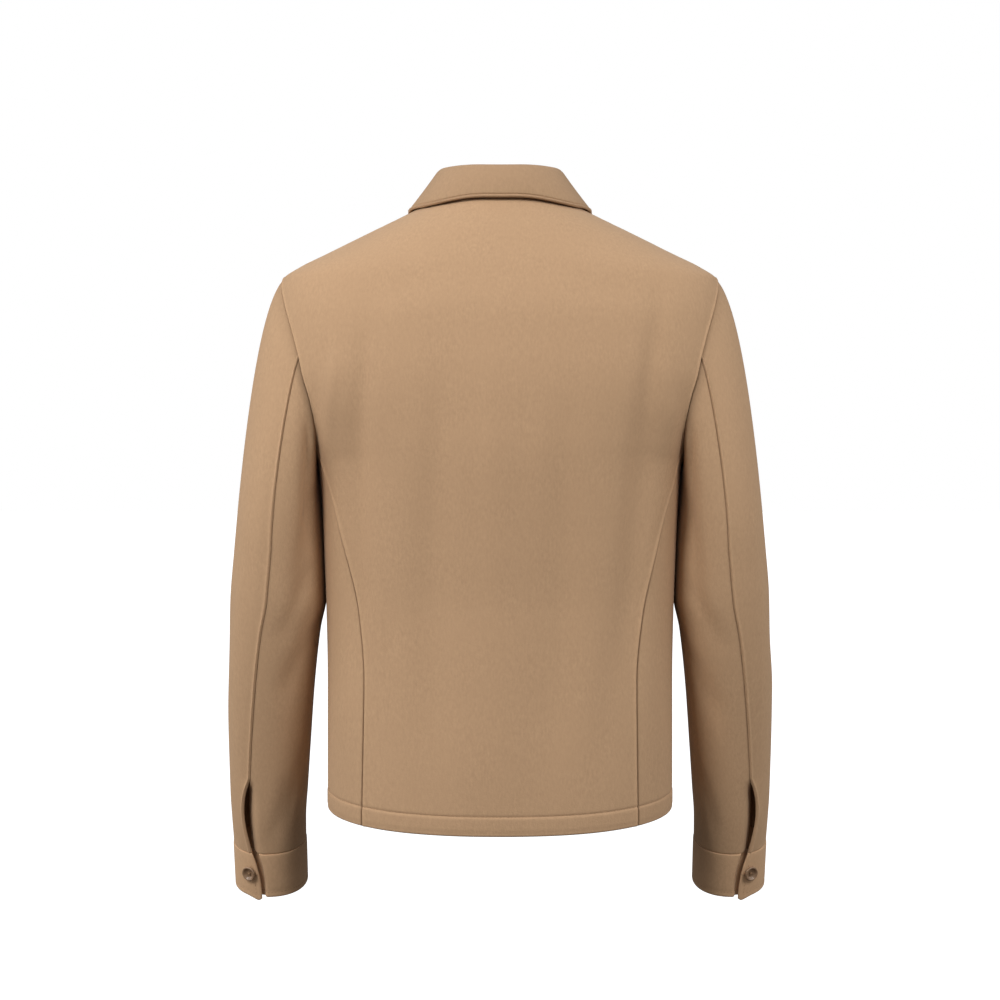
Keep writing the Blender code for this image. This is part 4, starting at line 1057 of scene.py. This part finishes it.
angles = COLLAR_END * steps(COLLAR_LENGTH, RIM_STEPS[:1], COLLAR_STEPS)
points = both_sides(np.array([fall_line(degrees) for degrees in angles]).transpose(1, 0, 2))
normals = -smooth_normals(points)
from_edge = distance_in(points, "last_row")
from_ends = np.minimum(distance_in(points, "first_column"), distance_in(points, "last_column"))
away = np.minimum(from_edge, from_ends)
drop = rim(away, COLLAR_ROUND) + groove(away, COLLAR_STITCHES, *COLLAR_GROOVE)
drop -= COLLAR_PUFF * np.sin(np.pi * np.clip(away / COLLAR_STITCHES, 0, 1))
thickness, inside = np.full(points.shape[:2], COLLAR_CLOTH), rim(away, COLLAR_INSIDE_ROUND)
fall = wall("collar_fall", points, normals, thickness, drop, inside, collar_wool)
shown = points - drop[..., None] * normals
row = -1 - int(np.flatnonzero(COLLAR_STEPS == COLLAR_STITCHES)[0])
sew("collar_stitches", shown[row, -row - 1 : row], normals[row, -row - 1 : row])
for end, column in (("left", row), ("right", -row - 1)):
    rows = slice(len(shown) // 3, row)
    sew("collar_end_stitches_" + end, shown[rows, column], normals[rows, column])
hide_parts("collar")

ring_turns = 90 - angles
ring = plain_body_point(*neck(ring_turns).T)
inset = ROLL_RADIUS - COLLAR_CLOTH
tops = np.array([middle - inset * outward for middle, outward in map(fold_point, angles)])
tops[:, 2] -= STAND_TOP
shares = steps(STAND_HEIGHT)[:, None, None]
points = both_sides(ring + shares * (tops - ring))
normals = smooth_normals(points)
away = np.minimum(distance_in(points, "first_column"), distance_in(points, "last_column"))
inside = rim(away, COLLAR_INSIDE_ROUND)
drop = inside + rim(distance_in(points, "first_row"), STAND_FOOT_ROUND)
thickness = np.full(points.shape[:2], COLLAR_CLOTH)
stand = wall("collar_stand_band", points, normals, thickness, drop, inside, collar_wool)
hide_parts("collar_stand")


# Buttons: six down the front and one on each cuff, turned from horn with a round rim, a dished middle and
# four holes. Crossed threads hold each one to the layer below, through a stitched buttonhole in the upper.
BUTTON_RADIUS = 0.010
BUTTON_HEIGHTS = (-0.100, -0.192, -0.284, -0.376, -0.468, -0.560)
BUTTON_RISE = 0.0007  # the back of a button stands this far off the cloth
CUFF_BUTTON_RADIUS = 0.008
CUFF_BUTTON_ANGLE = 26.0
CUFF_BUTTON_HEIGHT = -0.7015
BUTTON_PROFILE = (  # share of the radius, height
    (0.0, 0.0009),
    (0.40, 0.0010),
    (0.58, 0.0013),
    (0.69, 0.0024),
    (0.77, 0.0033),
    (0.85, 0.0036),
    (0.93, 0.0034),
    (0.98, 0.0028),
    (1.0, 0.0020),
    (0.97, 0.0010),
    (0.88, 0.0003),
    (0.0, 0.0),
)
BUTTON_SEGMENTS = 64
HOLE_RADIUS = 0.0008
HOLE_PLACE = 0.0015  # from the middle, along both ways
HORN_DARK = (0.170, 0.098, 0.054, 1.0)
HORN_LIGHT = (0.360, 0.220, 0.125, 1.0)
HORN_SCALE = 150.0
HORN_GRAIN = (1, 3, 1)
HORN_CONTRAST = 1.5
HOLE_SPARE = 0.0016  # how much longer a buttonhole is than its button
WELT = 0.00055
BUTTONHOLE_HALF_WIDTH = 0.0013
BUTTONHOLE_POINTS = 33
BUTTON_THREAD = 0.00024
THREADS_APART = 0.00025  # half the distance between the two threads of each bar
THREAD_PATH = np.array([  # share of the way to a hole, height above the button's back
    (-1.0, -0.0008),
    (-0.97, 0.0012),
    (-0.6, 0.0018),
    (0.0, 0.0019),
    (0.6, 0.0018),
    (0.97, 0.0012),
    (1.0, -0.0008),
])

horn = bpy.data.materials.new("horn")
horn.use_nodes = True
nodes, links = horn.node_tree.nodes, horn.node_tree.links
surface = nodes["Principled BSDF"]
surface.inputs["Roughness"].default_value = 0.34
surface.inputs["Coat Weight"].default_value = 0.25
surface.inputs["Coat Roughness"].default_value = 0.2
inside_horn = nodes.new("ShaderNodeTexCoord").outputs["Object"]
streaks = noise(horn.node_tree, inside_horn, HORN_SCALE, 3.0, HORN_GRAIN)
streaked = blend(horn.node_tree, HORN_DARK, HORN_LIGHT, streaks, HORN_CONTRAST)
links.new(streaked, surface.inputs["Base Color"])


def turned_button(name, radius):
    """A turned disc with four drilled holes, as a mesh that faces up."""
    built = bmesh.new()
    rings = []
    for share, height in BUTTON_PROFILE:
        turns = [0.0] if share == 0 else [2 * math.pi * k / BUTTON_SEGMENTS for k in range(BUTTON_SEGMENTS)]
        away = radius * share
        rings.append([built.verts.new((away * math.cos(t), away * math.sin(t), height)) for t in turns])
    for low, high in zip(rings, rings[1:]):
        for k in range(BUTTON_SEGMENTS):
            around = ((low, k), (high, k), (high, k + 1), (low, k + 1))
            built.faces.new(list(dict.fromkeys(ring[i % len(ring)] for ring, i in around)))
    bmesh.ops.recalc_face_normals(built, faces=built.faces)
    mesh = bpy.data.meshes.new(name)
    built.to_mesh(mesh)
    built.free()
    drill = bmesh.new()
    for x in (-HOLE_PLACE, HOLE_PLACE):
        for y in (-HOLE_PLACE, HOLE_PLACE):
            place = Matrix.Translation((x, y, 0.001))
            bmesh.ops.create_cone(
                drill,
                cap_ends=True,
                segments=16,
                radius1=HOLE_RADIUS,
                radius2=HOLE_RADIUS,
                depth=0.01,
                matrix=place,
            )
    drill_mesh = bpy.data.meshes.new("drill")
    drill.to_mesh(drill_mesh)
    drill.free()
    blank, cutter = bpy.data.objects.new(name, mesh), bpy.data.objects.new("drill", drill_mesh)
    for thing in (blank, cutter):
        bpy.context.scene.collection.objects.link(thing)
    cut = blank.modifiers.new("Holes", "BOOLEAN")
    cut.object = cutter
    finished = bpy.data.meshes.new_from_object(blank.evaluated_get(bpy.context.evaluated_depsgraph_get()))
    for thing in (blank, cutter):
        bpy.data.objects.remove(thing)
    finished.shade_smooth()
    finished.set_sharp_from_angle(angle=math.radians(50))
    finished.materials.clear()
    finished.materials.append(horn)
    return finished


front_button = turned_button("front_button", BUTTON_RADIUS)
cuff_button = turned_button("cuff_button", CUFF_BUTTON_RADIUS)


def fasten(node, mesh, spot, facing, radius, slit):
    """A button on the cloth at `spot`, its crossed threads, and its buttonhole along the direction `slit`."""
    facing = facing / np.linalg.norm(facing)
    slit = slit - facing * np.dot(slit, facing)
    slit /= np.linalg.norm(slit)
    cross = np.cross(facing, slit)
    button = bpy.data.objects.new(node + "_horn", mesh)
    button.matrix_world = Matrix(np.column_stack([slit, cross, facing]).tolist()).to_4x4()
    button.location = spot + BUTTON_RISE * facing
    bpy.context.scene.collection.objects.link(button)
    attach(button, "root")
    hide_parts(node)
    lines = []
    for way in (slit + cross, slit - cross):
        for beside in (-THREADS_APART, THREADS_APART):
            other = np.cross(facing, way) / math.sqrt(2)
            flat = THREAD_PATH[:, :1] * HOLE_PLACE * way + beside * other
            lines.append(spot + flat + (THREAD_PATH[:, 1:] + BUTTON_RISE) * facing)
    upright = np.broadcast_to(facing, (len(lines), len(THREAD_PATH), 3))
    tubes(node + "_threads", np.array(lines), upright, BUTTON_THREAD)
    turns = np.linspace(0, 2 * math.pi, BUTTONHOLE_POINTS)
    long, wide = radius + HOLE_SPARE / 2, BUTTONHOLE_HALF_WIDTH
    ring = spot + long * np.cos(turns)[:, None] * slit + wide * np.sin(turns)[:, None] * cross
    upright = np.broadcast_to(facing, (1, BUTTONHOLE_POINTS, 3))
    tubes(node + "_hole_edge", ring[None], upright, WELT)


for number, height in enumerate(BUTTON_HEIGHTS, 1):
    facing = across(plain_body_point, -math.pi / 2, height)
    spot = body_point(np.array(-math.pi / 2), np.array(height)) + LAP_RISE * facing
    fasten("front_button_%d" % number, front_button, spot, facing, BUTTON_RADIUS, np.array([0.0, 0.0, 1.0]))
for side, mirror in (("left", 1), ("right", -1)):
    spot = sleeve_ring_point(CUFF_BUTTON_ANGLE, CUFF_BUTTON_HEIGHT, -CUFF_PROUD)
    beside = sleeve_ring_point(CUFF_BUTTON_ANGLE + 2, CUFF_BUTTON_HEIGHT, -CUFF_PROUD)
    below = sleeve_ring_point(CUFF_BUTTON_ANGLE, CUFF_BUTTON_HEIGHT - CUFF_BUTTON_RADIUS, -CUFF_PROUD)
    facing = np.cross(spot - beside, spot - below)
    facing *= math.copysign(1, facing[1])
    flip = np.array([mirror, 1, 1])
    slit = (beside - spot) * flip
    fasten("cuff_button_" + side, cuff_button, spot * flip, facing * flip, CUFF_BUTTON_RADIUS, slit)


# Studio: a white floor and surround that only the camera sees, and an even fill that is cooler from above.
# Two soft lights stand above on either side of the camera, the left one stronger, and two weak ones at the
# sides. The camera is level behind the jacket, as for the photograph.
FLOOR_HEIGHT = -1.45
FLOOR_SIZE = 400
FILL_HEIGHTS = (-0.6, 0.4)  # the fill changes from below to above between these, as the sine of the angle
FILL_BELOW = (0.107, 0.088, 0.072, 1.0)
FILL_ABOVE = (0.285, 0.298, 0.320, 1.0)
KEY_PLACES = ((1.7, 1.9, 1.2), (-1.6, 1.9, 1.2))
KEY_TARGET = (0.0, 0.0, -0.2)
KEY_SIZE = 1.0
KEY_POWERS = (47.5, 32.5)
SIDE_PLACES = ((2.2, 0.35, 0.3), (-2.2, 0.35, 0.3))
SIDE_TARGET = (0.0, 0.0, -0.4)
SIDE_SIZE = 1.4
SIDE_POWERS = (16.0, 10.0)
CAMERA_DISTANCE = 2.3
CAMERA_HEIGHT = -0.312
FOCAL_PIXELS = 2170.0
SENSOR = 36.0

world = bpy.data.worlds.new("studio")
bpy.context.scene.world = world
world.use_nodes = True
nodes, links = world.node_tree.nodes, world.node_tree.links
fill = nodes["Background"]
direction = nodes.new("ShaderNodeSeparateXYZ")
height = nodes.new("ShaderNodeMapRange")
height.inputs["From Min"].default_value, height.inputs["From Max"].default_value = FILL_HEIGHTS
links.new(nodes.new("ShaderNodeTexCoord").outputs["Generated"], direction.inputs["Vector"])
links.new(direction.outputs["Z"], height.inputs["Value"])
links.new(blend(world.node_tree, FILL_BELOW, FILL_ABOVE, height.outputs["Result"]), fill.inputs["Color"])
white = nodes.new("ShaderNodeBackground")
white.inputs["Color"].default_value = (1.0, 1.0, 1.0, 1.0)
seen = nodes.new("ShaderNodeLightPath")
either = nodes.new("ShaderNodeMixShader")
links.new(seen.outputs["Is Camera Ray"], either.inputs["Fac"])
links.new(fill.outputs["Background"], either.inputs[1])
links.new(white.outputs["Background"], either.inputs[2])
links.new(either.outputs["Shader"], nodes["World Output"].inputs["Surface"])

bpy.ops.mesh.primitive_plane_add(size=FLOOR_SIZE, location=(0, 0, FLOOR_HEIGHT))
floor = bpy.context.object
floor.name = "floor"
paint = bpy.data.materials.new("white_floor")
paint.use_nodes = True
paint.node_tree.nodes["Principled BSDF"].inputs["Emission Color"].default_value = (1.0, 1.0, 1.0, 1.0)
paint.node_tree.nodes["Principled BSDF"].inputs["Emission Strength"].default_value = 1.0
floor.data.materials.append(paint)
floor.visible_diffuse = False
floor.visible_glossy = False


def soft_light(name, place, target, size, power):
    """A square soft light that the camera doesn't see."""
    lamp = bpy.data.lights.new(name, "AREA")
    lamp.size, lamp.energy = size, power
    light = bpy.data.objects.new(name, lamp)
    light.location = place
    light.rotation_euler = (Vector(target) - Vector(place)).to_track_quat("-Z", "Y").to_euler()
    light.visible_camera = False
    bpy.context.scene.collection.objects.link(light)


for name, place, power in zip(("key_left", "key_right"), KEY_PLACES, KEY_POWERS):
    soft_light(name, place, KEY_TARGET, KEY_SIZE, power)
for name, place, power in zip(("side_left", "side_right"), SIDE_PLACES, SIDE_POWERS):
    soft_light(name, place, SIDE_TARGET, SIDE_SIZE, power)

lens = bpy.data.cameras.new("camera")
lens.sensor_width = SENSOR
lens.lens = FOCAL_PIXELS * SENSOR / 1000
camera = bpy.data.objects.new("camera", lens)
camera.location = (0, CAMERA_DISTANCE, CAMERA_HEIGHT)
camera.rotation_euler = (math.pi / 2, 0, math.pi)
bpy.context.scene.collection.objects.link(camera)
bpy.context.scene.camera = camera
bpy.context.scene.view_settings.view_transform = "Standard"
